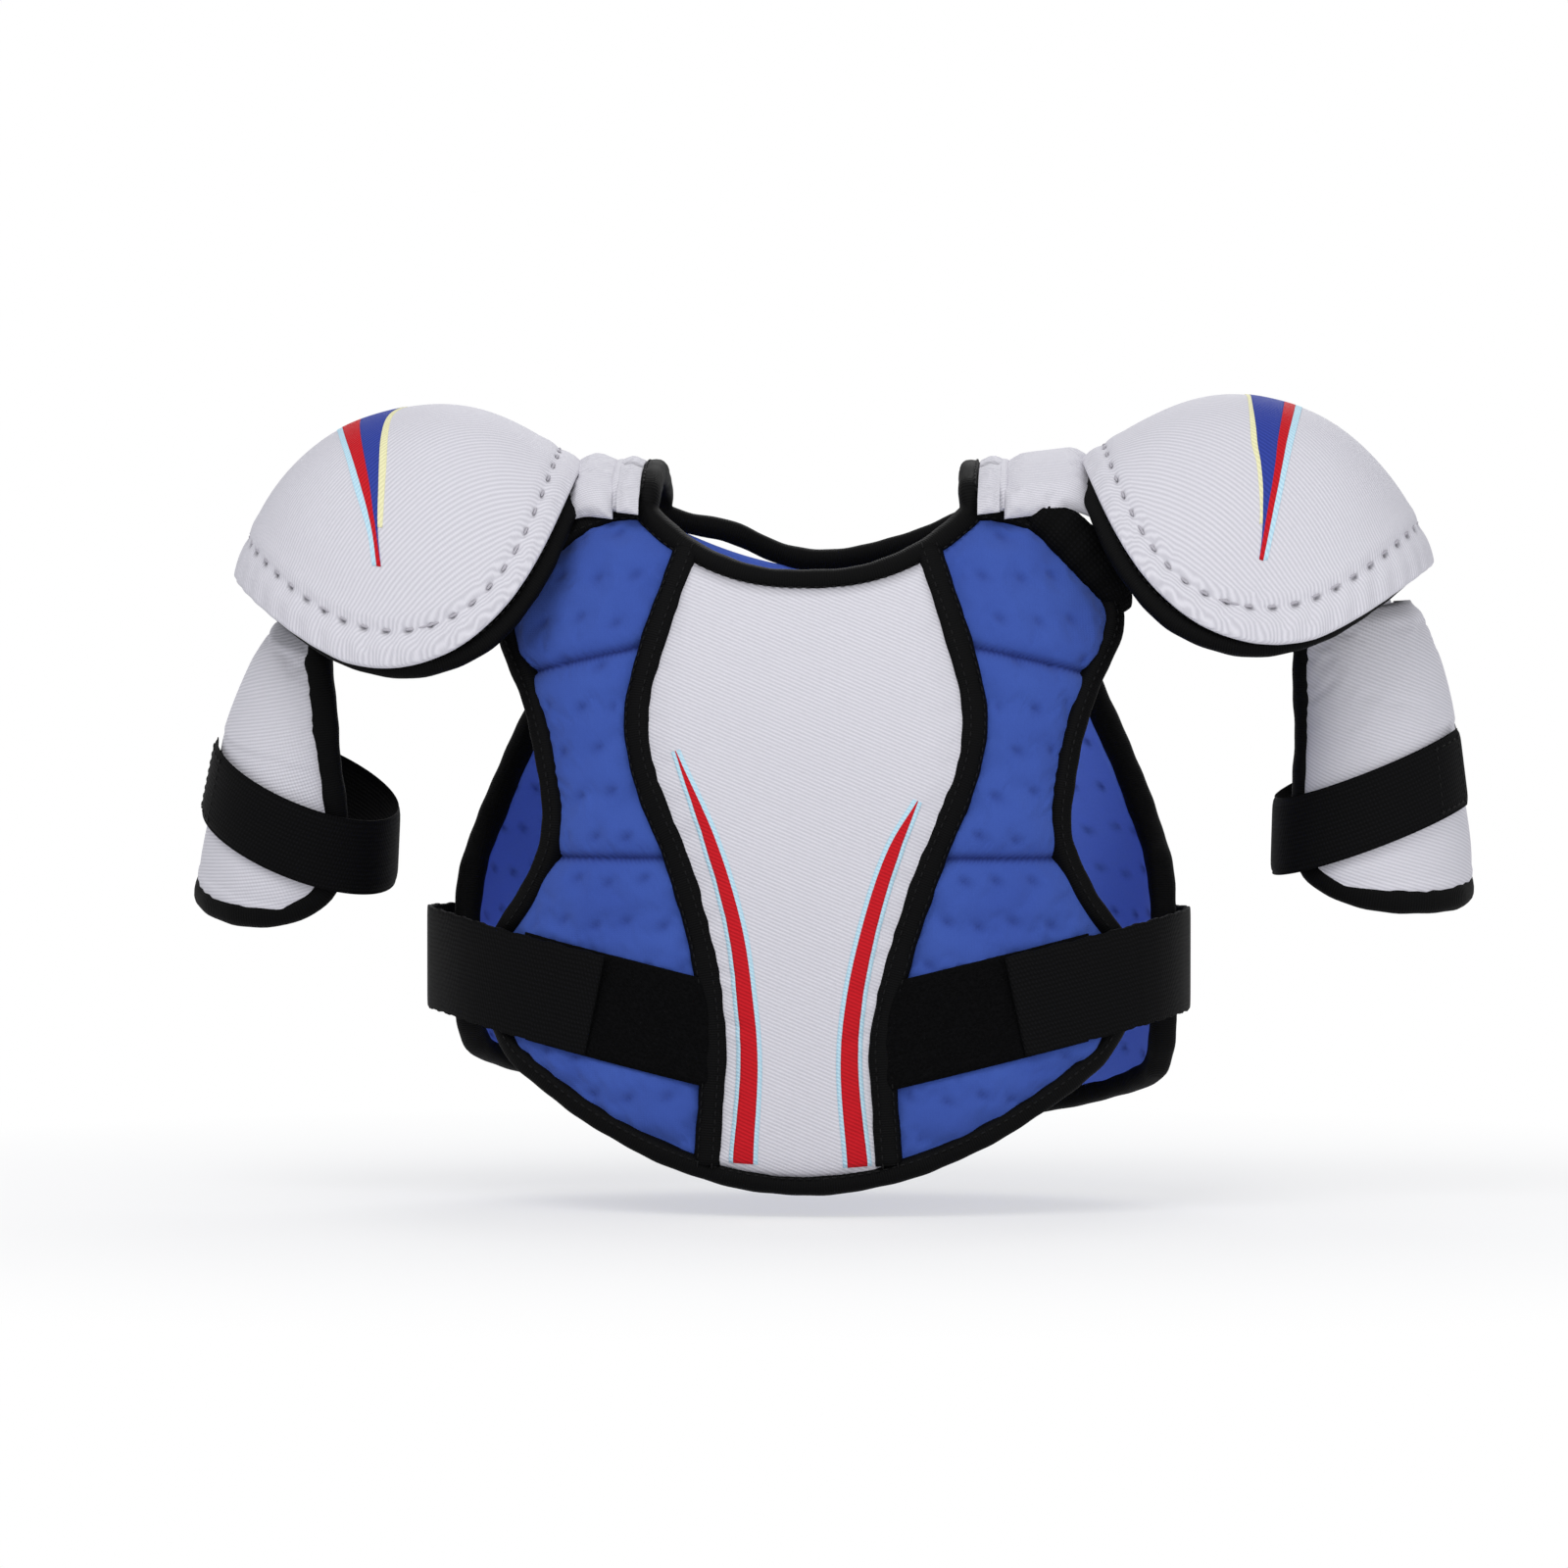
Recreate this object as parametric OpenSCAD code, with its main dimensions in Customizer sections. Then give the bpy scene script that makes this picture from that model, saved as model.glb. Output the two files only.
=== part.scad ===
// Junior ice hockey shoulder pads: a foam vest with a stiff sternum panel, two domed shoulder caps,
// two upper arm guards, and elastic waist and arm straps that close with hook-and-loop tabs.
// Frame: +Z up, -Y is the chest side, +X is the wearer's left. The origin lies on the upright axis of
// the wearer's torso, level with the lowest point of the front hem.

/* [Torso] */
// Half of the wearer's chest width inside the vest
torso_half_width = 168; // [160:1:180]
// Half of the wearer's chest depth inside the vest
torso_half_depth = 84; // [78:1:95]
// Height above the hem where the chest starts to round over to the shoulders
chest_height = 120; // [100:1:140]
// Height of the wearer's shoulder line above the hem
shoulder_height = 356; // [350:1:370]

/* [Vest layers] */
// Thickness of the inner lining
liner_t = 2; // [1.5:0.1:3]
// Thickness of the blue foam of the chest and back
foam_t = 8; // [6:0.5:10]
// Thickness of the foam under the stiff sternum and spine plates
core_foam_t = 5; // [4:0.5:6]
// Thickness of the stiff plastic inserts
plate_t = 1.6; // [1.2:0.1:2.4]
// Thickness of the white knitted covers
cover_t = 1.6; // [1.2:0.1:2.4]
// Gap left between two layers that lie on each other
layer_gap = 0.4; // [0.3:0.05:0.6]
// Width of the black edge binding
binding_w = 10; // [8:0.5:12]
// How far the binding stands proud of the panel that it edges
binding_proud = 1; // [0.6:0.1:1.6]

/* [Front panel] */
// Half width of the front hem
hem_half = 137; // [130:1:145]
// Rise of the hem from the middle of the front to its corners
hem_rise = 62; // [50:1:70]
// Half width of the neck opening
neck_half = 78; // [74:1:82]
// Height of the bottom of the front neckline
neck_height = 292; // [286:1:296]
// Rise of the neckline from its bottom to the shoulder
neck_rise = 34; // [30:1:38]

/* [Back panel] */
// Height of the middle of the back hem
back_hem_height = 25; // [15:1:35]
// Rise of the back hem to its corners at the sides
back_hem_rise = 31; // [24:1:38]
// Height of the bottom of the back neckline
back_neck_height = 300; // [292:1:306]

/* [Shoulder yokes] */
// Width of a yoke across the shoulder
yoke_w = 17; // [15:1:18]
// Half span of a yoke from front to back
yoke_half_span = 50; // [46:1:54]
// Rise of a yoke over the shoulder
yoke_rise = 20; // [18:1:24]
// Thickness of the yoke foam
yoke_t = 7; // [5:0.5:9]

/* [Shoulder caps] */
// Half length of a cap along the shoulder
cap_half_len = 87; // [82:1:90]
// Half depth of a cap from front to back
cap_half_depth = 84; // [80:1:88]
// Height of the dome above its ends
cap_h = 50; // [44:1:56]
// How far the front and back of the rim hang below its ends
cap_drape = 58; // [50:1:64]
// Thickness of the stiff dome inside the cap
cap_shell_t = 2.4; // [1.8:0.2:3.2]
// Thickness of the foam liner under the dome
cap_liner_t = 7; // [5:0.5:9]
// How far the liner and its binding reach past the rim of the cover
cap_liner_reach = 0.5; // [0:0.5:2]

/* [Arm guards] */
// Length of a guard along the arm
guard_len = 138; // [132:1:144]
// Inner radius of a guard at its lower end
guard_r = 36; // [33:0.5:40]
// Inner radius of a guard at its upper end
guard_top_r = 25; // [23:0.5:27]
// Thickness of the guard foam
guard_foam_t = 6; // [4:0.5:8]

/* [Straps] */
// Width of the elastic waist straps
waist_strap_w = 50; // [40:1:56]
// Width of the elastic arm straps
arm_strap_w = 38; // [30:1:42]
// Thickness of the elastic webbing
strap_t = 2.2; // [1.6:0.2:3]
// Thickness of a sewn-on hook or loop patch
patch_t = 1.4; // [1:0.1:2]
// Room around a strap tab, so that it can peel
tab_gap = 0.6; // [0.4:0.1:1]

/* [Hidden] */
SIDES = ["right", "left"];
node = "all";
CENTRE_NODES = ["chest_liner", "sternum_foam", "sternum_plate", "sternum_cover", "front_binding",
                "neck_binding", "back_liner", "back_foam", "spine_plate", "spine_cover", "back_binding"];
SIDE_NODES = ["chest_foam", "sternum_binding", "yoke_foam", "yoke_cover", "yoke_binding", "shoulder_roll",
              "cap_cover", "cap_shell", "cap_liner", "cap_binding", "cap_tab",
              "guard_cover", "guard_plate", "guard_foam", "guard_binding", "guard_hanger",
              "arm_strap", "arm_tab", "arm_patch",
              "waist_anchor", "waist_strap", "waist_tab", "waist_patch"];
NODES = concat(CENTRE_NODES, [for (side = SIDES) for (n = SIDE_NODES) str(side, "_", n)]);

blue = "royalblue";
white = "whitesmoke";
black = "#151515";
clear_plastic = "gainsboro";

// Layer depths, measured outwards from the wearer's torso
foam_d = liner_t + layer_gap;
foam_top = foam_d + foam_t;
core_top = foam_d + core_foam_t;
plate_d = core_top + layer_gap;
plate_top = plate_d + plate_t;
cover_d = plate_top + layer_gap;
cover_top = cover_d + cover_t;
edge_mid = foam_top / 2;
edge_h = foam_top + 2 * binding_proud;
patch_d = foam_top + layer_gap;
strap_d = patch_d + patch_t + tab_gap;
strap_mid = strap_d + strap_t / 2;
panel_inset = binding_w / 2 + 2 * layer_gap;

// Torso form: a superellipse section that domes over to the shoulders
section_power = 2.6;
shoulder_taper = 0.11;
function above_chest(z) = max(0, z - chest_height) / (shoulder_height - chest_height);
function half_width(z) = torso_half_width * (1 - shoulder_taper * pow(above_chest(z), 2));
function half_depth(z) = torso_half_depth * sqrt(max(0.02, 1 - pow(above_chest(z), section_power)));

// A point d outside the torso, at an angle from the middle of the front or the back
function torso(face, angle, z, d) =
    let (c = cos(angle), s = sin(angle), e = 2 / section_power)
    [(half_width(z) + d) * sign(s) * pow(abs(s), e),
     face * (half_depth(z) + d) * sign(c) * pow(abs(c), e), z];
function angle_at(x, z) =
    sign(x) * asin(pow(min(0.995, abs(x) / half_width(z)), section_power / 2));
FRONT = -1;
BACK = 1;
function front_point(p, d) = torso(FRONT, angle_at(p[0], p[1]), p[1], d);
function back_point(p, d) = torso(BACK, angle_of(p[0]), p[1], d);

// Curves through a few points
function lerp(a, b, t) = a + (b - a) * t;
function catmull(a, b, c, d, t) =
    ((2 * b) + (c - a) * t + (2 * a - 5 * b + 4 * c - d) * t * t + (3 * b - a - 3 * c + d) * t * t * t) / 2;
function spline(pts, t) =
    let (n = len(pts) - 1, k = min(floor(t * n), n - 1))
    catmull(pts[max(k - 1, 0)], pts[k], pts[k + 1], pts[min(k + 2, n)], t * n - k);
function unit(v) = v / max(norm(v), 1e-9);
function mirrored(pts) = [for (p = pts) [-p[0], p[1]]];
function reversed(list) = [for (i = [len(list) - 1 : -1 : 0]) list[i]];

// A four-sided patch of flat points, drawn in from its edges by an inset that fades inwards
fade = 5;
function edge_normal(f, t, turn) =
    let (h = 0.01, v = unit(f(min(1, t + h)) - f(max(0, t - h)))) turn * [-v[1], v[0]];
function patch_point(l, r, b, t, u, v, inset) =
    lerp(l(v), r(v), u)
    + (1 - v) * (b(u) - lerp(b(0), b(1), u))
    + v * (t(u) - lerp(t(0), t(1), u))
    + inset * (pow(1 - u, fade) * edge_normal(l, v, -1) + pow(u, fade) * edge_normal(r, v, 1)
               + pow(1 - v, fade) * edge_normal(b, u, 1) + pow(v, fade) * edge_normal(t, u, -1));
function patch(l, r, b, t, nu, nv, inset) =
    [for (j = [0 : nv]) [for (i = [0 : nu]) patch_point(l, r, b, t, i / nu, j / nv, inset)]];
// Points of a flat grid set at a depth on the front, the back or an arm guard
front_face = function(p, d) front_point(p, d);
back_face = function(p, d) back_point(p, d);
guard_face = function(p, d) guard_point(p, d);
function lifted(grid, place, d) = [for (row = grid) [for (p = row) place(p, d)]];

// A closed sheet between two grids of points
module slab(outer, inner) {
    rows = len(outer);
    cols = len(outer[0]);
    size = rows * cols;
    points = concat([for (row = outer) each row], [for (row = inner) each row]);
    function at(i, j) = i * cols + j;
    rim = concat([for (j = [0 : cols - 2]) at(0, j)], [for (i = [0 : rows - 2]) at(i, cols - 1)],
                 [for (j = [cols - 1 : -1 : 1]) at(rows - 1, j)], [for (i = [rows - 1 : -1 : 1]) at(i, 0)]);
    faces = concat(
        [for (i = [0 : rows - 2]) for (j = [0 : cols - 2])
            each [[at(i, j), at(i + 1, j), at(i + 1, j + 1)], [at(i, j), at(i + 1, j + 1), at(i, j + 1)]]],
        [for (i = [0 : rows - 2]) for (j = [0 : cols - 2])
            each [[size + at(i, j), size + at(i + 1, j + 1), size + at(i + 1, j)],
                  [size + at(i, j), size + at(i, j + 1), size + at(i + 1, j + 1)]]],
        [for (k = [0 : len(rim) - 1]) let (a = rim[k], b = rim[(k + 1) % len(rim)])
            each [[a, b, size + b], [a, size + b, size + a]]]);
    polyhedron(points, faces, convexity = 8);
}

// A closed solid through rings of points, open-ended with caps or joined into a loop
module loft(rings, closed = false) {
    n = len(rings);
    m = len(rings[0]);
    last = closed ? n - 1 : n - 2;
    sides = [for (i = [0 : last]) for (j = [0 : m - 1])
        let (a = i * m + j, b = i * m + (j + 1) % m, c = ((i + 1) % n) * m + j, d = ((i + 1) % n) * m + (j + 1) % m)
        each [[a, c, d], [a, d, b]]];
    caps = closed ? [] : concat([for (j = [1 : m - 2]) [0, j, j + 1]],
                                [for (j = [1 : m - 2]) [(n - 1) * m, (n - 1) * m + j + 1, (n - 1) * m + j]]);
    polyhedron([for (r = rings) each r], concat(sides, caps), convexity = 8);
}

// A rolled binding: an oval bead along a line of [point, outward normal]
bead_sides = 6;
function bead_tangent(line, i, closed) =
    let (n = len(line), a = closed ? (i + n - 1) % n : max(i - 1, 0), b = closed ? (i + 1) % n : min(i + 1, n - 1))
    unit(line[b][0] - line[a][0]);
function bead_ring(p, tangent, normal, w, h) =
    let (side = unit(cross(tangent, normal)), up = cross(side, tangent))
    [for (k = [0 : bead_sides - 1]) let (q = 360 * (k + 0.5) / bead_sides)
        p + side * cos(q) * w / 2 + up * sin(q) * h / 2];
module bead(line, w, h, closed = false) {
    loft([for (i = [0 : len(line) - 1])
              bead_ring(line[i][0], bead_tangent(line, i, closed), unit(line[i][1]), w, h)], closed);
}
function on_front(p, d) = [front_point(p, d), front_point(p, d + 1) - front_point(p, d)];
function on_back(p, d) = [back_point(p, d), back_point(p, d + 1) - back_point(p, d)];

// Flat outlines of the front, for the wearer's left half, as [x, z]
curve_power = 1.95;
neck_power = 2.4;
function hem_z(x) = hem_rise * pow(abs(x) / hem_half, curve_power);
function neck_z(x) = neck_height + neck_rise * pow(abs(x) / neck_half, neck_power);
shoulder_z = neck_height + neck_rise;
sternum_top = 56;
sternum_foot = 45;
armhole = [[104, shoulder_z - 4], [128, 300], [143, 274], [129, 235], [121, 200], [119, 168],
           [130, 140], [147, 112], [148, 86], [hem_half, hem_rise]];
sternum_side = [[sternum_foot, hem_z(sternum_foot)], [43, 40], [42, 73], [47, 111], [60, 156], [70, 182],
                [77, 206], [78, 232], [70, 264], [sternum_top, neck_z(sternum_top)]];
shoulder_edge = [[sternum_top, neck_z(sternum_top)], [64, neck_z(64)], [neck_half, shoulder_z], [86, shoulder_z - 1],
                 armhole[0]];
function sternum_line(t) = spline(sternum_side, t);
function armhole_line(t) = spline(armhole, t);
function hem_between(a, b, t) = let (x = lerp(a, b, t)) [x, hem_z(x)];
function neck_between(a, b, t) = let (x = lerp(a, b, t)) [x, neck_z(x)];

// Distance round the torso from the middle of the back, so that back outlines are flat sizes
girth_z = 150;
function girth_point(angle) = torso(BACK, angle, girth_z, edge_mid);
girth = [for (i = 0, arc = 0; i <= 120; arc = arc + norm(girth_point(i + 1) - girth_point(i)), i = i + 1) [i, arc]];
girth_angles = [for (g = girth) [g[1], g[0]]];
function arc_at(angle) = lookup(angle, girth);
function angle_of(arc) = sign(arc) * lookup(abs(arc), girth_angles);

// Flat outlines of the back, for the wearer's left half, as [distance from the middle, z]
back_side_arc = arc_at(76);
back_neck_arc = arc_at(angle_at(neck_half, shoulder_z));
back_shoulder_arc = arc_at(angle_at(armhole[0][0], armhole[0][1]));
back_armhole = [[back_shoulder_arc, armhole[0][1]], [arc_at(38), 293], [arc_at(45), 262], [arc_at(51), 232],
                [arc_at(60), 201], [arc_at(70), 172], [arc_at(82), 145], [arc_at(88), 116], [arc_at(88), 92], [arc_at(84), 71],
                [back_side_arc, back_hem_height + back_hem_rise]];
back_shoulder_edge = [[back_neck_arc, shoulder_z], [(back_neck_arc + back_shoulder_arc) / 2, shoulder_z - 1],
                      back_armhole[0]];
spine_side = [[30, 48], [33, 100], [42, 180], [46, 236], [38, 280]];
function back_hem(a, b, t) =
    let (arc = lerp(a, b, t)) [arc, back_hem_height + back_hem_rise * pow(abs(arc) / back_side_arc, curve_power)];
function back_neck_z(arc) =
    back_neck_height + (shoulder_z - back_neck_height) * pow(abs(arc) / back_neck_arc, neck_power);

// Padded foam: full in the middle, drawn in at its edges and along its seams, dimpled where it is tacked
edge_share = 0.62;
seam_depth = 3;
seam_reach = 7;
dimple = 1.6;
function crown(u, v) = edge_share + (1 - edge_share) * pow(max(0, 1 - pow(abs(2 * u - 1), 4)) * max(0, 1 - pow(abs(2 * v - 1), 10)), 0.5);
function draw_in(distance) = seam_depth * pow(max(0, 1 - abs(distance) / seam_reach), 2);
function tack(i, j) = i % 2 == 1 && j % 2 == 1 ? dimple : 0;
function padded(grid, place, seams) =
    let (rows = len(grid), cols = len(grid[0]))
    [for (j = [0 : rows - 1]) [for (i = [0 : cols - 1])
        let (p = grid[j][i], inner = i > 0 && i < cols - 1 && j > 0 && j < rows - 1)
        place(p, foam_d + foam_t * crown(i / (cols - 1), j / (rows - 1)) - draw_in(seams(p)) - (inner ? tack(i, j) : 0))]];
crease_z = 158;
upper_seam_z = 262;
upper_seam_slope = -0.24;
front_seams = function(p) min(abs(p[1] - crease_z), abs(p[1] - upper_seam_z - upper_seam_slope * (abs(p[0]) - 70)));
back_seams = function(p) min(abs(p[1] - crease_z), abs(abs(p[0]) - 62));

// Front of the vest
function whole_front(inset, nu, nv) =
    patch(function(t) spline(mirrored(reversed(armhole)), t), function(t) spline(reversed(armhole), t),
          function(t) hem_between(-hem_half, hem_half, t),
          function(t) spline(concat(mirrored(reversed(shoulder_edge)), [for (x = [-40, -20, 0, 20, 40]) [x, neck_z(x)]],
                                    shoulder_edge), t),
          nu, nv, inset);
module chest_liner() {
    grid = whole_front(panel_inset, 16, 10);
    color(blue) slab(lifted(grid, front_face, liner_t), lifted(grid, front_face, 0));
}
module chest_foam(s) {
    grid = patch(function(t) sternum_line(t), function(t) spline(reversed(armhole), t),
                 function(t) hem_between(sternum_foot, hem_half, t), function(t) spline(shoulder_edge, t),
                 10, 26, panel_inset + layer_gap);
    color(blue) sided(s) slab(padded(grid, front_face, front_seams), lifted(grid, front_face, foam_d));
}
module sternum_layer(bottom, top, inset, tone) {
    grid = patch(function(t) spline(mirrored(sternum_side), t), function(t) sternum_line(t),
                 function(t) hem_between(-sternum_foot, sternum_foot, t),
                 function(t) neck_between(-sternum_top, sternum_top, t), 8, 14, inset);
    color(tone) slab(lifted(grid, front_face, top), lifted(grid, front_face, bottom));
}
plate_inset = panel_inset + 6;
module sternum_foam() { sternum_layer(foam_d, core_top, panel_inset + 2, black); }
module sternum_plate() { sternum_layer(plate_d, plate_top, plate_inset, clear_plastic); }
module sternum_cover() { sternum_layer(cover_d, cover_top, panel_inset + 1, white); }
binding_end = binding_w + layer_gap;
module sternum_binding(s) {
    line = [for (i = [0 : 22]) let (p = sternum_line(lerp(0.04, 0.95, i / 22)))
        on_front(p, (cover_top + foam_d) / 2 + 0.4)];
    color(black) sided(s) bead(line, binding_w, cover_top - foam_d + binding_proud);
}
module front_binding() {
    side = [for (i = [1 : 22]) armhole_line(i / 23)];
    hem = [for (i = [0 : 15]) hem_between(hem_half, -hem_half, i / 15)];
    top = [for (x = [neck_half + binding_end, 92]) [x, shoulder_z - 1]];
    path = concat(top, side, hem, mirrored(reversed(side)), mirrored(reversed(top)));
    color(black) bead([for (p = path) on_front(p, edge_mid)], binding_w, edge_h);
}

// Soft roll outside the top of the armhole, under the edge of the cap
roll_path = [[105, -42, 335], [121, -44, 327], [137, -44, 313], [150, -42, 297], [157, -38, 281]];
roll_size = [8, 15];
roll_start = [0.45, 0];
module shoulder_roll(s) {
    steps = 12;
    line = [for (i = [0 : steps]) [spline(roll_path, lerp(roll_start[side_index(s)], 1, i / steps)), [0, -1, 0.3]]];
    function swell(i) = roll_size[side_index(s)] * (0.3 + 0.7 * pow(sin(180 * i / steps), 0.7));
    color(black) sided(s) loft([for (i = [0 : steps])
        bead_ring(line[i][0], bead_tangent(line, i, false), unit(line[i][1]), swell(i), 0.8 * swell(i))]);
}

// Mirrors a piece drawn for the wearer's left to the wearer's right
module sided(s) { if (s > 0) children(); else mirror([1, 0, 0]) children(); }

// Back of the vest
function whole_back(inset, nu, nv) =
    let (half_top = concat([for (i = [0 : 3]) let (arc = back_neck_arc * i / 4) [arc, back_neck_z(arc)]],
                           back_shoulder_edge))
    patch(function(t) spline(mirrored(reversed(back_armhole)), t), function(t) spline(reversed(back_armhole), t),
          function(t) back_hem(-back_side_arc, back_side_arc, t),
          function(t) spline(concat(mirrored(reversed([for (i = [1 : len(half_top) - 1]) half_top[i]])), half_top), t),
          nu, nv, inset);
module back_liner() {
    grid = whole_back(panel_inset + 1, 14, 8);
    color(blue) slab(lifted(grid, back_face, liner_t), lifted(grid, back_face, 0));
}
module back_foam() {
    grid = whole_back(panel_inset + 1, 28, 16);
    color(blue) slab(padded(grid, back_face, back_seams), lifted(grid, back_face, foam_d));
}
module spine_layer(bottom, top, inset, tone) {
    foot = spine_side[0];
    head = spine_side[len(spine_side) - 1];
    grid = patch(function(t) spline(mirrored(spine_side), t), function(t) spline(spine_side, t),
                 function(t) [lerp(-foot[0], foot[0], t), foot[1]],
                 function(t) [lerp(-head[0], head[0], t), head[1]], 4, 8, inset);
    color(tone) slab(lifted(grid, back_face, top), lifted(grid, back_face, bottom));
}
spine_d = foam_top + layer_gap;
module spine_plate() { spine_layer(spine_d, spine_d + plate_t, plate_inset - panel_inset, clear_plastic); }
module spine_cover() {
    spine_layer(spine_d + plate_t + layer_gap, spine_d + plate_t + layer_gap + cover_t, 0, white);
}
module back_binding() {
    side = [for (i = [1 : 24]) spline(back_armhole, i / 25)];
    hem = [for (i = [0 : 19]) back_hem(back_side_arc, -back_side_arc, i / 19)];
    top = [for (arc = [back_neck_arc + binding_end, lerp(back_neck_arc, back_shoulder_arc, 0.8)]) [arc, shoulder_z - 1]];
    path = concat(top, side, hem, mirrored(reversed(side)), mirrored(reversed(top)));
    color(black) bead([for (p = path) on_back(p, edge_mid)], binding_w, edge_h);
}

// Shoulder yokes: padded arches that join the front to the back, with w measured out from the neck
yoke_slope = -0.12;
yoke_reach = 62;
function yoke_point(w, lean, d) =
    [neck_half + w, (yoke_half_span + d) * sin(lean), shoulder_z - 4 + (yoke_rise + d) * cos(lean) - yoke_slope * w];
module yoke_layer(bottom, top, start, end, tone, s) {
    grid = [for (j = [0 : 2]) [for (i = [0 : 10]) [lerp(start, end, j / 2), lerp(-yoke_reach, yoke_reach, i / 10)]]];
    color(tone) sided(s) slab(reversed([for (row = grid) [for (p = row) yoke_point(p[0], p[1], top)]]),
                              reversed([for (row = grid) [for (p = row) yoke_point(p[0], p[1], bottom)]]));
}
yoke_edge_w = 6;
yoke_edge = yoke_edge_w / 2 + layer_gap;
yoke_end = panel_inset + yoke_w - binding_w;
module yoke_foam(s) { yoke_layer(0, yoke_t, panel_inset, yoke_end, black, s); }
module yoke_cover(s) { yoke_layer(yoke_t + layer_gap, yoke_t + layer_gap + cover_t, panel_inset, yoke_end, white, s); }
module yoke_binding(s) {
    line = [for (i = [0 : 12]) let (lean = lerp(-yoke_reach, yoke_reach, i / 12))
        [yoke_point(yoke_end + yoke_edge, lean, yoke_t / 2), [0, sin(lean), cos(lean)]]];
    color(black) sided(s) bead(line, yoke_edge_w, yoke_t + 2 * binding_proud);
}
module neck_binding() {
    front = [for (i = [0 : 18]) on_front(neck_between(-neck_half, neck_half, i / 18), edge_mid)];
    over = [for (i = [0 : 4]) let (lean = lerp(-yoke_reach, yoke_reach, i / 4))
        [yoke_point(0, lean, yoke_t / 2), [0, sin(lean), cos(lean)]]];
    back = [for (i = [0 : 18]) let (arc = lerp(back_neck_arc, -back_neck_arc, i / 18))
        on_back([arc, back_neck_z(arc)], edge_mid)];
    other = [for (p = reversed(over)) [[-p[0][0], p[0][1], p[0][2]], p[1]]];
    color(black) bead(concat(front, over, back, other), binding_w, edge_h, closed = true);
}

// Shoulder caps: domes that drape over the shoulder to the front and the back, drawn level and then posed
cap_power = 2.15;
cap_slope = 2.3;
drape_power = 2.5;
cap_pose_centre = [[198, -24, 327], [218, -18, 331]];
cap_pose_tilt = [9, 3];
cap_pose_roll = [15, 14];
function side_index(s) = s > 0 ? 1 : 0;
module cap_at(s) {
    k = side_index(s);
    sided(s) translate(cap_pose_centre[k]) rotate([0, cap_pose_roll[k], 0]) rotate([cap_pose_tilt[k], 0, 0])
        children();
}
function signed_pow(v, e) = sign(v) * pow(abs(v), e);
function cap_rise(r) = cap_h * (1 - pow(r, cap_slope));
function cap_surface(q, r) =
    let (y = r * signed_pow(sin(q), 2 / cap_power))
    [cap_half_len * r * signed_pow(cos(q), 2 / cap_power), cap_half_depth * y,
     cap_rise(r) - cap_drape * pow(abs(y), drape_power)];
function cap_normal(q, r) =
    let (dr = 0.03, dq = 4)
    unit(cross(cap_surface(q, r + dr) - cap_surface(q, r - dr), cap_surface(q + dq, r) - cap_surface(q - dq, r)));
function cap_point(q, r, depth) = cap_surface(q, r) - depth * cap_normal(q, r);
function longer(q, reach) = 1 + reach / cap_half_depth * pow(sin(q), 2);
cap_count = 24;
cap_radii = [0.08, 0.36, 0.6, 0.8];
function cap_ring(r, depth, reach) =
    [for (k = [0 : cap_count - 1]) let (q = 360 * k / cap_count) cap_point(q, r * longer(q, reach), depth)];
module cap_layer(depth, thick, edge, reach) {
    top = concat([for (r = cap_radii) cap_ring(r, depth, 0)], [cap_ring(edge, depth, reach)]);
    bottom = concat([for (r = cap_radii) cap_ring(r, depth + thick, 0)], [cap_ring(edge, depth + thick, reach)]);
    loft(concat(top, reversed(bottom)));
}
cap_cover_t = 2 * cover_t;
cap_gap = 1;
cap_shell_d = cap_cover_t + cap_gap;
cap_liner_d = cap_shell_d + cap_shell_t + cap_gap;
cap_shell_edge = 0.92;
module cap_cover(s) { color(white) cap_at(s) cap_layer(0, cap_cover_t, 1, 0); }
module cap_shell(s) { color(clear_plastic) cap_at(s) cap_layer(cap_shell_d, cap_shell_t, cap_shell_edge, 0); }
module cap_liner(s) { color(black) cap_at(s) cap_layer(cap_liner_d, cap_liner_t, 1, cap_liner_reach); }
module cap_binding(s) {
    rim = [for (k = [0 : cap_count - 1]) let (q = 360 * k / cap_count, r = longer(q, cap_liner_reach))
        [cap_point(q, r, cap_liner_d + cap_liner_t / 2), cap_normal(q, r)]];
    line = [for (k = [0 : cap_count - 1])
        [rim[k][0] + panel_inset * unit(cross(bead_tangent(rim, k, true), rim[k][1])), rim[k][1]]];
    color(black) cap_at(s) bead(reversed(line), binding_w, cap_liner_t + 2 * binding_proud, closed = true);
}

// Tabs that hang the caps from the yokes: they start at the outer edge of the yoke
tab_reach = 52;
module cap_tab(s) {
    k = side_index(s);
    start = yoke_end + yoke_edge + yoke_edge_w / 2 + tab_gap;
    end = cap_pose_centre[k][0] - cap_half_len * cos(cap_pose_roll[k]) - neck_half - binding_w + 4;
    grid = [for (j = [2 : -1 : 0]) [for (i = [0 : 8]) [lerp(start, end, j / 2), lerp(-tab_reach, tab_reach, i / 8)]]];
    color(white) sided(s) slab([for (row = grid) [for (p = row) yoke_point(p[0], p[1], yoke_t)]],
                               [for (row = grid) [for (p = row) yoke_point(p[0], p[1], yoke_t - cap_cover_t)]]);
}

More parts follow.
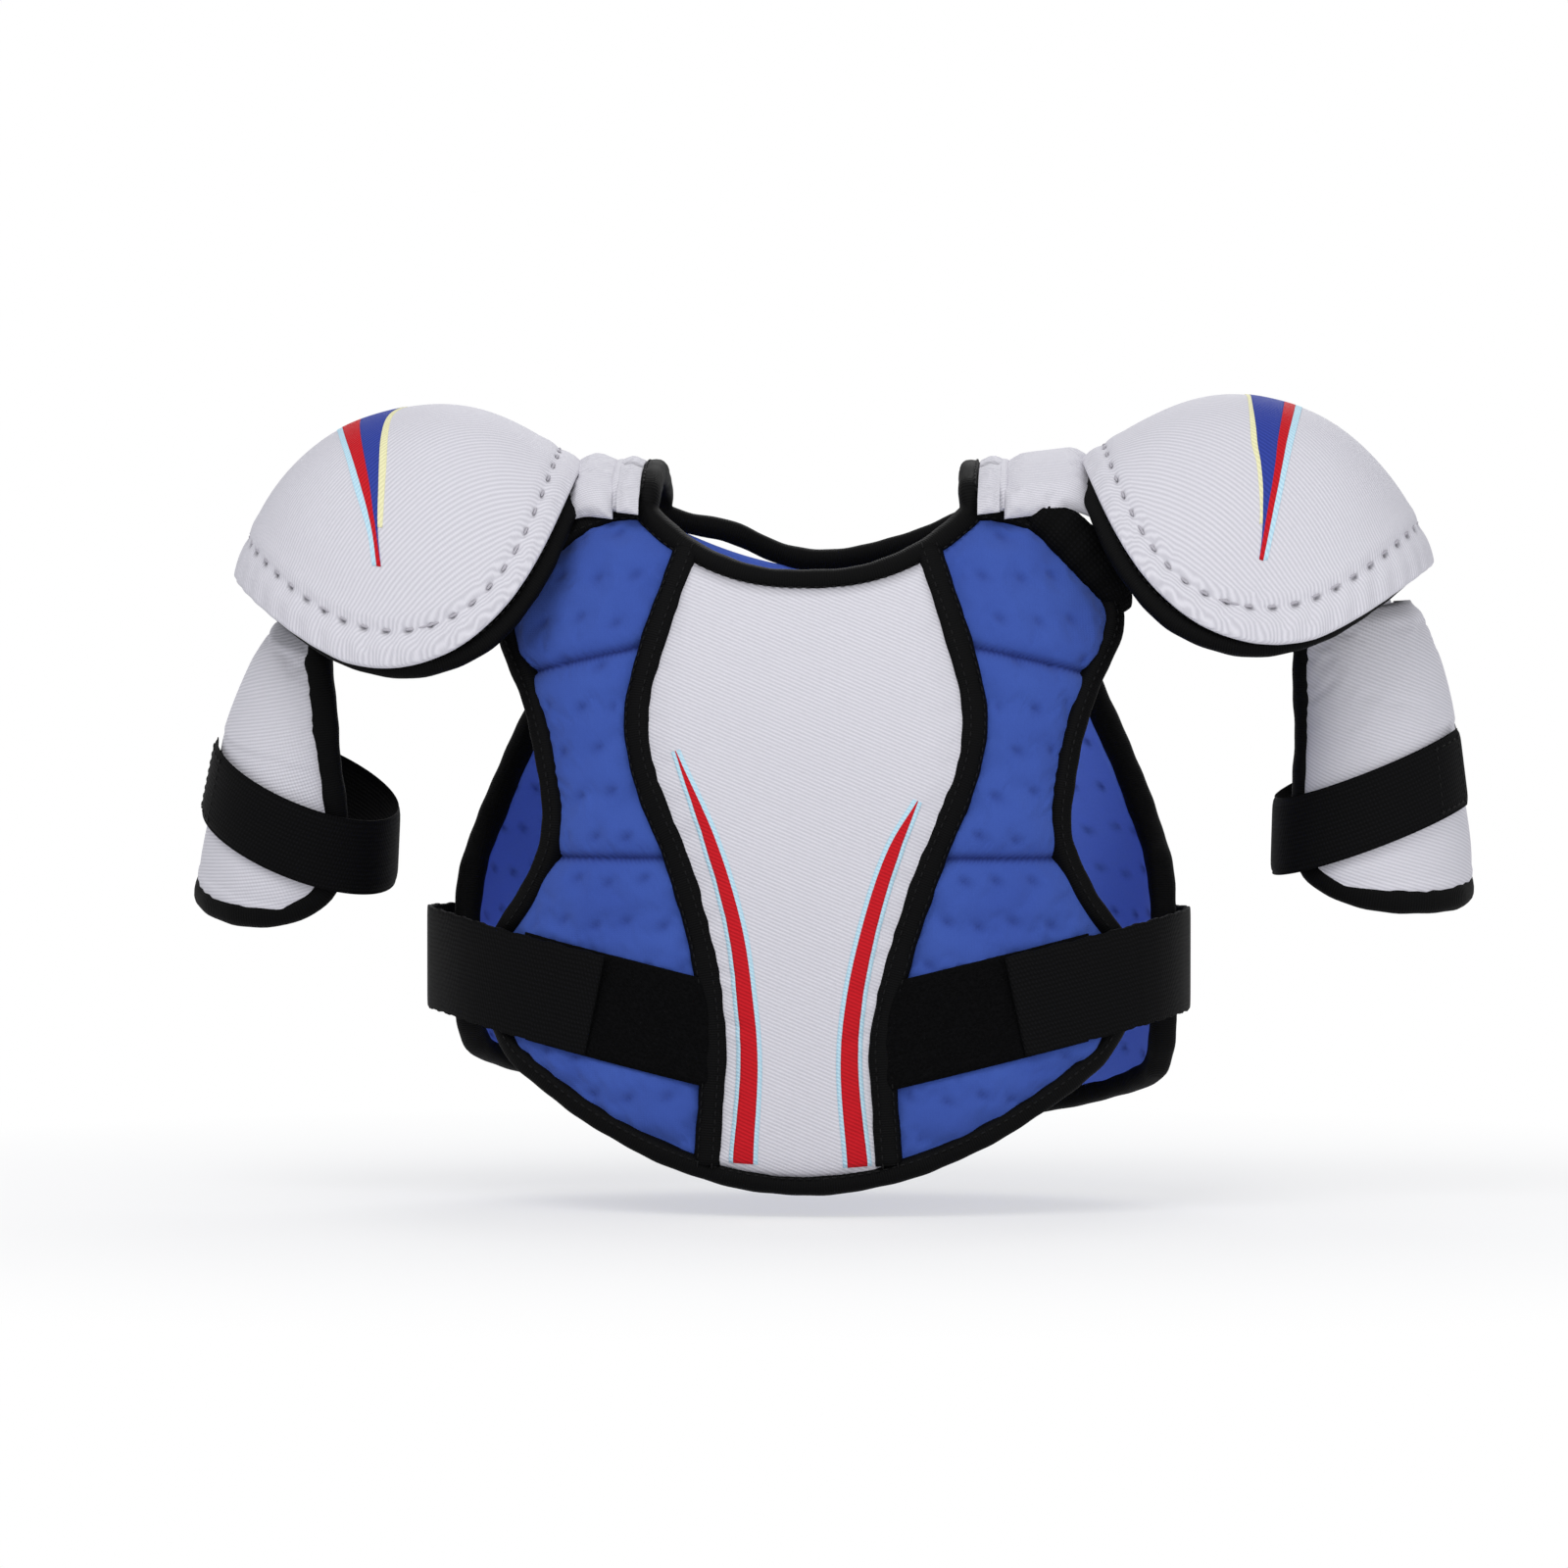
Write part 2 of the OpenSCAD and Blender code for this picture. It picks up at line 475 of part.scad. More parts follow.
// Upper arm guards, drawn round an upright arm axis with +X outwards, and then posed
guard_pose_centre = [[257, 22, 178], [276, 9, 185]];
guard_pose_pitch = [16, 5];
guard_pose_lean = [9, 3];
strap_slant = [12, 16];
guard_pose_turn = [-22, -40];
strap_rise = 44;
module guard_at(s) {
    k = side_index(s);
    sided(s) translate(guard_pose_centre[k]) rotate([0, -guard_pose_lean[k], 0]) rotate([guard_pose_pitch[k], 0, 0])
        rotate([0, 0, guard_pose_turn[k]]) children();
}
guard_top = guard_len - strap_rise;
function guard_radius(z) = lerp(guard_r, guard_top_r, (z + strap_rise) / guard_len);
guard_bend = 12;
bend_start = 30;
function guard_axis(z) = -guard_bend * pow(max(0, z - bend_start) / (guard_top - bend_start), 1.6);
function guard_point(p, d) =
    let (r = guard_radius(p[1]) + d, q = p[0] / guard_r * 180 / PI) [guard_axis(p[1]) + r * cos(q), r * sin(q), p[1]];
guard_side = [[46, 4 - strap_rise], [60, 16 - strap_rise], [64, 40 - strap_rise], [58, 75 - strap_rise],
              [46, 110 - strap_rise], [30, guard_top]];
guard_sag = 8;
function guard_grid(inset, nu, nv) =
    patch(function(t) spline(mirrored(guard_side), t), function(t) spline(guard_side, t),
          function(t) let (x = 2 * t - 1) [guard_side[0][0] * x, guard_side[0][1] - guard_sag * (1 - x * x)],
          function(t) [lerp(-30, 30, t), guard_top], nu, nv, inset);
guard_gap = 1;
guard_plate_d = guard_foam_t + guard_gap;
guard_cover_d = guard_plate_d + plate_t + guard_gap;
guard_cover_top = guard_cover_d + cover_t;
module guard_layer(s, bottom, top, inset, nu, nv, tone) {
    grid = guard_grid(inset, nu, nv);
    color(tone) guard_at(s) slab(lifted(grid, guard_face, top), lifted(grid, guard_face, bottom));
}
module guard_foam(s) { guard_layer(s, 0, guard_foam_t, panel_inset, 10, 6, black); }
module guard_plate(s) { guard_layer(s, guard_plate_d, guard_plate_d + plate_t, plate_inset, 10, 6, clear_plastic); }
module guard_cover(s) { guard_layer(s, guard_cover_d, guard_cover_top, panel_inset, 10, 6, white); }
module guard_binding(s) {
    side = [for (i = [0 : 10]) spline(guard_side, i / 10)];
    foot = [for (i = [1 : 7]) let (x = i / 4 - 1) [guard_side[0][0] * x, guard_side[0][1] - guard_sag * (1 - x * x)]];
    path = concat(reversed(side), reversed(foot), mirrored(side));
    mid = guard_cover_top / 2;
    color(black) guard_at(s) bead([for (p = path) [guard_point(p, mid), guard_point(p, mid + 1) - guard_point(p, mid)]],
                                  binding_w, guard_cover_top + binding_proud);
}
hanger_w = 40;
hanger_t = 2;
hanger_rise = 12;
module guard_hanger(s) {
    grid = [for (j = [0 : 2]) [for (i = [0 : 6])
        [lerp(-hanger_w / 2, hanger_w / 2, i / 6), guard_top - 1.5 * hanger_rise + hanger_rise * j]]];
    color(black) guard_at(s) slab(lifted(grid, guard_face, -guard_gap), lifted(grid, guard_face, -guard_gap - hanger_t));
}

// Arm straps: a loop sewn to the back of the guard, closed over the front of the guard by a hook tab
arm_patch_d = guard_cover_top + binding_proud + layer_gap;
arm_strap_d = arm_patch_d + patch_t + tab_gap;
arm_ring_r = guard_radius(0) + arm_strap_d;
arm_sewn_angle = 62;
arm_hinge_angle = 198;
arm_tab_end = 380;
hinge_room = 2.4;
function ring_room(r) = hinge_room / r * 180 / PI;
module arm_band(s, from, to, d, thick, width, steps, tone) {
    slant = strap_slant[side_index(s)];
    grid = [for (j = [0 : 1]) [for (i = [0 : steps])
        let (q = lerp(from, to, i / steps)) [q, slant * cos(q + guard_pose_turn[side_index(s)]) + (j - 0.5) * width]]];
    function round_arm(d) = [for (row = grid) [for (p = row)
        let (r = guard_radius(p[1]) + d) [guard_axis(p[1]) + r * cos(p[0]), r * sin(p[0]), p[1]]]];
    color(tone) guard_at(s) slab(round_arm(d + thick), round_arm(d));
}
module arm_strap(s) {
    arm_band(s, arm_sewn_angle, arm_hinge_angle - ring_room(arm_ring_r), arm_strap_d, strap_t, arm_strap_w, 16, black);
}
module arm_tab(s) { arm_band(s, arm_hinge_angle, arm_tab_end, arm_strap_d, strap_t, arm_strap_w, 20, black); }
module arm_patch(s) {
    arm_band(s, 280, arm_tab_end - 10, arm_patch_d, patch_t, arm_strap_w - 6, 10, black);
}

// Waist straps: sewn to the back, round the side, and closed over the front by a hook tab
waist_anchor_angle = 42;
waist_sewn_angle = 60;
waist_hinge_angle = 100;
waist_tab_x = 94;
waist_patch_x = 51;
waist_slope = 0.24;
waist_foot = 62;
waist_tab_end = 180 - angle_at(waist_tab_x, waist_foot);
waist_patch_end = 180 - angle_at(waist_patch_x, waist_foot);
waist_patch_start = 180 - angle_at(waist_tab_x + 34, waist_foot);
waist_room = 1;
function waist_z(angle) = waist_foot + waist_slope * torso(BACK, max(90, angle), waist_foot, strap_d)[0];
module waist_band(s, from, to, inner, thick, width, steps, tone) {
    grid = [for (j = [0 : 1]) [for (i = [0 : steps]) let (q = lerp(from, to, i / steps))
        [q, waist_z(q) + (j - 0.5) * width]]];
    function round_torso(d) = [for (row = grid) [for (p = row) torso(BACK, p[0], p[1], d)]];
    color(tone) sided(s) slab(reversed(round_torso(inner + thick)), reversed(round_torso(inner)));
}
module waist_anchor(s) {
    waist_band(s, waist_anchor_angle, waist_sewn_angle, patch_d, patch_t, waist_strap_w, 6, black);
}
module waist_strap(s) {
    waist_band(s, waist_anchor_angle, waist_hinge_angle - waist_room, strap_d, strap_t, waist_strap_w, 18, black);
}
module waist_tab(s) { waist_band(s, waist_hinge_angle, waist_tab_end, strap_d, strap_t, waist_strap_w, 16, black); }
module waist_patch(s) {
    waist_band(s, waist_patch_start, waist_patch_end, patch_d, patch_t, waist_strap_w, 8, black);
}

// Draws the whole object, or one node by name
function wanted(name) = node == "all" || node == name;
if (wanted("chest_liner")) chest_liner();
if (wanted("sternum_foam")) sternum_foam();
if (wanted("sternum_plate")) sternum_plate();
if (wanted("sternum_cover")) sternum_cover();
if (wanted("front_binding")) front_binding();
if (wanted("neck_binding")) neck_binding();
if (wanted("back_liner")) back_liner();
if (wanted("back_foam")) back_foam();
if (wanted("spine_plate")) spine_plate();
if (wanted("spine_cover")) spine_cover();
if (wanted("back_binding")) back_binding();
for (k = [0, 1]) {
    side = SIDES[k];
    s = 2 * k - 1;
    if (wanted(str(side, "_chest_foam"))) chest_foam(s);
    if (wanted(str(side, "_sternum_binding"))) sternum_binding(s);
    if (wanted(str(side, "_yoke_foam"))) yoke_foam(s);
    if (wanted(str(side, "_yoke_cover"))) yoke_cover(s);
    if (wanted(str(side, "_yoke_binding"))) yoke_binding(s);
    if (wanted(str(side, "_shoulder_roll"))) shoulder_roll(s);
    if (wanted(str(side, "_cap_cover"))) cap_cover(s);
    if (wanted(str(side, "_cap_shell"))) cap_shell(s);
    if (wanted(str(side, "_cap_liner"))) cap_liner(s);
    if (wanted(str(side, "_cap_binding"))) cap_binding(s);
    if (wanted(str(side, "_cap_tab"))) cap_tab(s);
    if (wanted(str(side, "_guard_cover"))) guard_cover(s);
    if (wanted(str(side, "_guard_plate"))) guard_plate(s);
    if (wanted(str(side, "_guard_foam"))) guard_foam(s);
    if (wanted(str(side, "_guard_binding"))) guard_binding(s);
    if (wanted(str(side, "_guard_hanger"))) guard_hanger(s);
    if (wanted(str(side, "_arm_strap"))) arm_strap(s);
    if (wanted(str(side, "_arm_tab"))) arm_tab(s);
    if (wanted(str(side, "_arm_patch"))) arm_patch(s);
    if (wanted(str(side, "_waist_anchor"))) waist_anchor(s);
    if (wanted(str(side, "_waist_strap"))) waist_strap(s);
    if (wanted(str(side, "_waist_tab"))) waist_tab(s);
    if (wanted(str(side, "_waist_patch"))) waist_patch(s);
}
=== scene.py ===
# %% [markdown]
# Hockey shoulder pads, dressed over their CAD frame.
# The CAD model gives every piece its place, its size and its hinge. This lesson builds the soft skins
# that the eye sees: dimpled foam, ribbed knit covers, folded bindings and woven straps.
# Every length below is in millimetres until the last moment, when a mesh is written in metres.

# %% Load the frame
import math
import bpy
import bmesh
import numpy as np
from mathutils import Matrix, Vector, kdtree


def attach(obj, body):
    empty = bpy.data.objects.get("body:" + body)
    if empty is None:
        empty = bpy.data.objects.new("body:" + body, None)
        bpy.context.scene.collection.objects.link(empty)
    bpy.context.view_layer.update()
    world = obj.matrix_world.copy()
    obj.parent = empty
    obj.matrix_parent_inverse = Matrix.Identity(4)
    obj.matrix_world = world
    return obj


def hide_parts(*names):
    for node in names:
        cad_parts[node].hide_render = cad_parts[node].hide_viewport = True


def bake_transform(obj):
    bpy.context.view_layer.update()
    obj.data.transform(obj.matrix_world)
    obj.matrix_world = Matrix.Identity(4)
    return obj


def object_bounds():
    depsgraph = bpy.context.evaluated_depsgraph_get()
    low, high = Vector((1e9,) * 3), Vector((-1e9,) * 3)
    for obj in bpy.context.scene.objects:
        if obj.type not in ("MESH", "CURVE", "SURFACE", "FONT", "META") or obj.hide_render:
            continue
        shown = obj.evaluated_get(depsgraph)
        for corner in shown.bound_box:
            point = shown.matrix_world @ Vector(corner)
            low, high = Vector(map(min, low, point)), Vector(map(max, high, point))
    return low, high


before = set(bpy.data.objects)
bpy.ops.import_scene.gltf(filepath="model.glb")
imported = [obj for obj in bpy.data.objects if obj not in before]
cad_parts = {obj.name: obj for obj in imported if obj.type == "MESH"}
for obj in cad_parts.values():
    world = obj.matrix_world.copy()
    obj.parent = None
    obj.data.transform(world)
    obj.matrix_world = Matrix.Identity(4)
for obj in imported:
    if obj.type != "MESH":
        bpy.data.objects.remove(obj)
cad_box = [[float(c) for c in corner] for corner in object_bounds()]
MM = 0.001
SIDES = (("right", -1), ("left", 1))
FLIP = np.array([-1, 1])

# %% [markdown]
# The photo is a frontal product shot with a long lens, a little above the chest.
# The camera aims at the middle of the frame that the photo shows, so proportions can be compared directly.

# %% Camera
FRAME_WIDTH = 0.758
LENS = 180.0
SENSOR = 36.0
AIM = Vector((-0.010, -0.090, 0.194))
ELEVATION = math.radians(1.6)
YAW = math.radians(3.0)
distance = FRAME_WIDTH * LENS / SENSOR
level = math.cos(ELEVATION)
away = Vector((math.sin(YAW) * level, -math.cos(YAW) * level, math.sin(ELEVATION)))
camera_data = bpy.data.cameras.new("photo_camera")
camera_data.lens = LENS
camera_data.sensor_width = SENSOR
camera_data.sensor_fit = "HORIZONTAL"
camera_data.clip_end = 20.0
camera = bpy.data.objects.new("photo_camera", camera_data)
bpy.context.collection.objects.link(camera)
camera.location = AIM + away * distance
camera.rotation_euler = (-away).to_track_quat("-Z", "Y").to_euler()
bpy.context.scene.camera = camera
print(f"camera {distance:.2f} m away")

# %% [markdown]
# Light is a soft studio set: one wide lamp above the front, one lower fill and a weak one behind.
# The floor and the world get their white look later, from the camera's rays alone, so nothing is over-lit.

# %% Light, world and floor
FLOOR_DROP = 0.012


def lamp(name, place, aim, size, power):
    data = bpy.data.lights.new(name, "AREA")
    data.shape = "RECTANGLE"
    data.size, data.size_y = size
    data.energy = power
    thing = bpy.data.objects.new(name, data)
    bpy.context.collection.objects.link(thing)
    thing.location = place
    thing.rotation_euler = (Vector(aim) - Vector(place)).to_track_quat("-Z", "Y").to_euler()


lamp("key_lamp", (-0.7, -1.5, 1.9), (0, 0, 0.2), (1.6, 1.2), 24)
lamp("fill_lamp", (1.3, -1.7, 0.7), (0, 0, 0.2), (1.4, 1.4), 11)
lamp("back_lamp", (0.3, 1.6, 1.5), (0, 0, 0.25), (1.4, 1.0), 14)


world = bpy.data.worlds.new("studio")
bpy.context.scene.world = world
world.use_nodes = True
sky = world.node_tree.nodes["Background"]
sky.inputs["Color"].default_value = (0.93, 0.95, 1.0, 1)
sky.inputs["Strength"].default_value = 0.5

bpy.ops.mesh.primitive_plane_add(size=9.0, location=(0, 0, cad_box[0][2] - FLOOR_DROP))
floor = bpy.context.object
floor.name = "studio_floor"
bpy.context.scene.view_settings.view_transform = "Standard"
print("studio ready")

# %% [markdown]
# Shader maths reads best as maths. The small class below wraps one socket and overloads the operators,
# so a formula such as `wave * 0.5 + 0.5` adds the nodes by itself. `Finish` starts a material around one
# Principled shader and gives the piece's own UV map, which is laid out in metres.

# %% Socket maths
class Num:
    def __init__(self, tree, socket):
        self.tree = tree
        self.socket = socket

    def op(self, operation, *others, swap=False):
        node = self.tree.nodes.new("ShaderNodeMath")
        node.operation = operation
        terms = [self, *others]
        if swap:
            terms.reverse()
        for slot, term in zip(node.inputs, terms):
            if isinstance(term, Num):
                self.tree.links.new(term.socket, slot)
            else:
                slot.default_value = float(term)
        return Num(self.tree, node.outputs[0])

    def __add__(self, other):
        return self.op("ADD", other)

    def __radd__(self, other):
        return self.op("ADD", other)

    def __sub__(self, other):
        return self.op("SUBTRACT", other)

    def __rsub__(self, other):
        return self.op("SUBTRACT", other, swap=True)

    def __mul__(self, other):
        return self.op("MULTIPLY", other)

    def __rmul__(self, other):
        return self.op("MULTIPLY", other)

    def __truediv__(self, other):
        return self.op("DIVIDE", other)

    def __rtruediv__(self, other):
        return self.op("DIVIDE", other, swap=True)

    def wave(self):
        return self.op("SINE") * 0.5 + 0.5


class Finish:
    def __init__(self, name, rough=0.8, sheen=0.0, shine=0.12):
        self.material = bpy.data.materials.new(name)
        self.material.use_nodes = True
        self.tree = self.material.node_tree
        self.shader = self.tree.nodes["Principled BSDF"]
        self.shader.inputs["Roughness"].default_value = rough
        self.shader.inputs["Sheen Weight"].default_value = sheen
        self.shader.inputs["Specular IOR Level"].default_value = shine

    def node(self, kind, out=0, settings=None, **inputs):
        made = self.tree.nodes.new(kind)
        for key, value in (settings or {}).items():
            setattr(made, key, value)
        for key, value in inputs.items():
            slot = made.inputs[int(key[1:])] if key[1:].isdigit() else made.inputs[key.replace("_", " ")]
            if isinstance(value, Num):
                self.tree.links.new(value.socket, slot)
            else:
                slot.default_value = value
        return Num(self.tree, made.outputs[out])

    def uv(self):
        flat = self.node("ShaderNodeUVMap", settings={"uv_map": "flat"})
        across = self.node("ShaderNodeSeparateXYZ", Vector=flat)
        along = Num(self.tree, across.socket.node.outputs[1])
        return flat, across, along

    def noise(self, place, scale, detail=2.0):
        return self.node("ShaderNodeTexNoise", Vector=place, Scale=scale, Detail=detail)

    def attribute(self, name):
        return self.node("ShaderNodeAttribute", "Fac", settings={"attribute_name": name})

    def blend(self, factor, first, second):
        return self.node("ShaderNodeMix", 2, settings={"data_type": "RGBA"}, _0=factor, _6=first, _7=second)

    def colour(self, value):
        if isinstance(value, Num):
            self.tree.links.new(value.socket, self.shader.inputs["Base Color"])
        else:
            self.shader.inputs["Base Color"].default_value = value

    def bump(self, height, strength, reach):
        relief = self.node("ShaderNodeBump", Height=height, Strength=strength, Distance=reach)
        self.tree.links.new(relief.socket, self.shader.inputs["Normal"])


def rgb(red, green, blue):
    parts = [c / 255 for c in (red, green, blue)]
    return tuple(c / 12.92 if c < 0.04045 else ((c + 0.055) / 1.055) ** 2.4 for c in parts) + (1.0,)


TURN = 2 * math.pi
KNIT_RIB = 0.0017
print("socket maths ready")

# %% [markdown]
# Fabrics differ by their structure: brushed knit over foam, ribbed knit, ribbed tape, woven webbing and
# looped pile. Each one is a colour, a roughness and a small relief that follows the UV map in metres.

# %% Fabrics
blue = Finish("blue_cloth", rough=0.86, sheen=0.12)
flat, across, along = blue.uv()
nap = blue.noise(flat, 1500.0, 3.0)
worn = blue.noise(flat, 26.0, 3.0)
# Painted shade: the blue darkens toward a deep blue in the tack dimples and seam creases.
painted_shade = blue.attribute("painted_shade")
tone = blue.blend(worn, rgb(53, 78, 158), rgb(66, 95, 175))
tone = blue.blend(nap * 0.3, tone, rgb(38, 54, 132))
blue.colour(blue.blend(painted_shade, tone, rgb(26, 34, 96)))
courses = (across * (TURN / 0.0013)).wave() * (along * (TURN / 0.0010)).wave()
blue.bump(courses * 0.5 + nap, 0.35, 0.0004)

lightened_lining = Finish("lightened_lining_cloth", rough=0.9, sheen=0.1)
flat, across, along = lightened_lining.uv()
nap = lightened_lining.noise(flat, 900.0, 2.0)
# Painted shade: the lining darkens in its tack dimples.
shade_spot = lightened_lining.attribute("painted_shade")
# The lining's blue is painted much lighter than the outer foam's blue, as painted light for the shaded inside
# of the pads.
tone = lightened_lining.blend(nap * 0.5, rgb(104, 136, 232), rgb(84, 112, 208))
lightened_lining.colour(lightened_lining.blend(shade_spot * 0.7, tone, rgb(34, 44, 110)))
lightened_lining.bump(nap, 0.3, 0.0004)

knit = Finish("white_knit", rough=0.72, sheen=0.08)
flat, across, along = knit.uv()
slant = across * 0.42 + along * 0.91
rib = (slant * (TURN / KNIT_RIB)).wave()
stitch = ((across * 0.91 - along * 0.42) * (TURN / 0.0013)).wave()
fuzz = knit.noise(flat, 700.0, 2.0)
# Painted shade: broad random patches darken the white a little, standing in for the uneven shading of the
# cloth.
painted_shade_patches = knit.noise(flat, 18.0, 3.0)
# Painted shade: the white darkens to grey along bound edges, in creases and grooves and in stitch holes.
painted_shade = knit.attribute("painted_shade")
tone = knit.blend(rib, rgb(198, 196, 203), rgb(221, 219, 225))
tone = knit.blend(painted_shade_patches * 0.3, tone, rgb(202, 201, 208))
knit.colour(knit.blend(painted_shade, tone, rgb(66, 63, 70)))
knit.bump(rib * 0.7 + stitch * 0.3 + fuzz * 0.3, 0.4, 0.0005)

tape_cloth = Finish("binding_tape", rough=0.66, shine=0.06)
flat, across, along = tape_cloth.uv()
rib = (along * (TURN / 0.0012)).wave()
fuzz = tape_cloth.noise(flat, 1200.0, 2.0)
tape_cloth.colour(tape_cloth.blend(rib * 0.6 + fuzz * 0.4, rgb(2, 2, 2), rgb(11, 11, 12)))
tape_cloth.bump(rib + fuzz * 0.6, 0.4, 0.0004)

webbing = Finish("woven_webbing", rough=0.72, shine=0.06)
flat, across, along = webbing.uv()
warp = (across * (TURN / 0.0022)).wave()
weft = (along * (TURN / 0.0018) + across * (TURN / 0.0044)).wave()
fuzz = webbing.noise(flat, 900.0, 2.0)
webbing.colour(webbing.blend(warp * weft * 0.7 + fuzz * 0.3, rgb(3, 3, 3), rgb(18, 18, 20)))
webbing.bump(warp * 0.6 + weft * 0.5, 0.5, 0.0005)

pile = Finish("loop_pile", rough=0.95, shine=0.05)
flat, across, along = pile.uv()
curl = pile.node("ShaderNodeTexVoronoi", Vector=flat, Scale=900.0)
fuzz = pile.noise(flat, 420.0, 3.0)
pile.colour(pile.blend(curl * 0.7 + fuzz * 0.4, rgb(2, 2, 2), rgb(12, 12, 13)))
pile.bump(curl + fuzz, 0.7, 0.0007)

mesh_cloth = Finish("black_mesh", rough=0.78, shine=0.06)
flat, across, along = mesh_cloth.uv()
hole = (across * (TURN / 0.0024)).wave() * (along * (TURN / 0.0024)).wave()
fuzz = mesh_cloth.noise(flat, 600.0, 2.0)
# Painted shade: the black darkens further in tack dimples and in the valleys of the roll's folds.
painted_shade = mesh_cloth.attribute("painted_shade")
tone = mesh_cloth.blend(hole * 0.8 + fuzz * 0.2, rgb(3, 3, 3), rgb(14, 14, 16))
mesh_cloth.colour(mesh_cloth.blend(painted_shade, tone, rgb(2, 2, 2)))
mesh_cloth.bump(hole + fuzz * 0.5, 0.5, 0.0006)

plastic = Finish("plate_plastic", rough=0.38, shine=0.5)
place = plastic.node("ShaderNodeTexCoord", "Object")
grain = plastic.noise(place, 240.0, 3.0)
plastic.colour(plastic.blend(grain, rgb(206, 208, 210), rgb(226, 228, 230)))
plastic.bump(grain, 0.15, 0.0003)


def printed(name, light, dark):
    made = Finish(name, rough=0.68, sheen=0.05)
    _, across, along = made.uv()
    rib = ((across * 0.42 + along * 0.91) * (TURN / KNIT_RIB)).wave()
    made.colour(made.blend(rib, dark, light))
    made.bump(rib, 0.4, 0.0005)
    return made


red_print = printed("red_print", rgb(205, 24, 36), rgb(178, 14, 26))
pale_print = printed("pale_blue_print", rgb(196, 228, 240), rgb(172, 208, 226))
blue_print = printed("blue_print", rgb(52, 70, 160), rgb(40, 56, 138))
cream_print = printed("cream_print", rgb(240, 236, 190), rgb(222, 218, 172))
# The cap thread is real white thread, coloured grey here as painted shade of the stitch holes it sits in.
white_thread = Finish("white_thread", rough=0.6)
white_thread.colour(rgb(176, 173, 180))
black_thread = Finish("black_thread", rough=0.55)
black_thread.colour(rgb(10, 10, 11))
print("fabrics:", len(bpy.data.materials))

# %% [markdown]
# The background is white because camera, mirror and glass rays see a white of strength 1. On the floor that
# white fades in with distance, so a soft shadow stays below the object and no horizon shows.

# %% White surroundings
def white_rays(tree):
    path = tree.nodes.new("ShaderNodeLightPath")
    seen = Num(tree, path.outputs["Is Camera Ray"])
    for ray in ("Is Glossy Ray", "Is Transmission Ray"):
        seen = seen.op("MAXIMUM", Num(tree, path.outputs[ray]))
    return seen


def whiten(tree, factor, shade, glow, out):
    glow.inputs["Color"].default_value = (1, 1, 1, 1)
    glow.inputs["Strength"].default_value = 1.0
    mix = tree.nodes.new("ShaderNodeMixShader")
    tree.links.new(factor.socket, mix.inputs[0])
    tree.links.new(shade, mix.inputs[1])
    tree.links.new(glow.outputs[0], mix.inputs[2])
    tree.links.new(mix.outputs[0], out.inputs["Surface"])


ground = Finish("floor_paint", rough=0.9)
ground.colour((0.87, 0.87, 0.88, 1))
place = ground.node("ShaderNodeTexCoord", "Object")
spread = ground.node("ShaderNodeVectorMath", "Value", {"operation": "LENGTH"}, _0=place)
faded = ((spread - 0.2) / 0.5).op("MINIMUM", 1.0).op("MAXIMUM", 0.0)
whiten(ground.tree, white_rays(ground.tree) * (0.55 + 0.45 * faded), ground.shader.outputs[0],
       ground.tree.nodes.new("ShaderNodeEmission"), ground.tree.nodes["Material Output"])
floor.data.materials.append(ground.material)
air = world.node_tree
whiten(air, white_rays(air), sky.outputs[0], air.nodes.new("ShaderNodeBackground"), air.nodes["World Output"])
print("surroundings are white for the camera")

# %% [markdown]
# All the pieces lie on three smooth bodies: a torso, a cap dome and an arm barrel. The functions here are
# the same ones the CAD model uses, written for whole arrays of points, so a fine skin meets its CAD piece.

# %% The torso
FRONT, BACK = -1, 1
HALF_WIDTH, HALF_DEPTH = 168.0, 84.0
CHEST_Z, TOP_Z = 120.0, 356.0
POWER, TAPER = 2.6, 0.11
SHOULDER_Z = 326.0
NECK_HALF = 78.0
FOAM_D, COVER_D, COVER_TOP = 2.4, 9.8, 11.4
EDGE_MID = 5.2
STRAP_D, STRAP_T, PATCH_D = 12.8, 2.2, 10.8
HEM_HALF, HEM_RISE, HEM_POWER = 137.0, 62.0, 1.95
NECK_HEIGHT, NECK_RISE = 292.0, 34.0
STRAP_Z, STRAP_SLOPE = 62.0, 0.24
SEAM_Z = 158.0
TACK_PITCH, TACK_ROW = 16.0, 21.0
LOBE_DROP, LOBE_RISE = 7.0, 4.0


def points(*parts):
    return np.stack(np.broadcast_arrays(*[np.asarray(p, float) for p in parts]), axis=-1)


def travel(line):
    steps = np.linalg.norm(np.diff(line, axis=0), axis=1)
    return np.concatenate([[0], np.cumsum(steps)])


def resample(line, run, at):
    return np.stack([np.interp(at, run, column) for column in np.asarray(line).T], axis=1)


def unit(vectors):
    return vectors / np.linalg.norm(vectors, axis=-1, keepdims=True)


def hump(value, width):
    return np.exp(-(value / width) ** 2)


def ramp(value, start, width):
    return np.clip((value - start) / width, 0, 1)


def fullness(gap, reach, power):
    return 1 - np.exp(-(gap / reach) ** power)


def above(z):
    return np.maximum(0, z - CHEST_Z) / (TOP_Z - CHEST_Z)


def half_width(z):
    return HALF_WIDTH * (1 - TAPER * above(z) ** 2)


def half_depth(z):
    return HALF_DEPTH * np.sqrt(np.maximum(0.02, 1 - above(z) ** POWER))


def bulge(c, power):
    return np.sign(c) * np.abs(c) ** (2 / power)


def torso(face, degrees, z, d):
    a = np.radians(degrees)
    x = (half_width(z) + d) * bulge(np.sin(a), POWER)
    return points(x, face * (half_depth(z) + d) * bulge(np.cos(a), POWER), z)


def angle_at(x, z):
    share = np.minimum(0.995, np.abs(x) / half_width(z)) ** (POWER / 2)
    return np.sign(x) * np.degrees(np.arcsin(share))


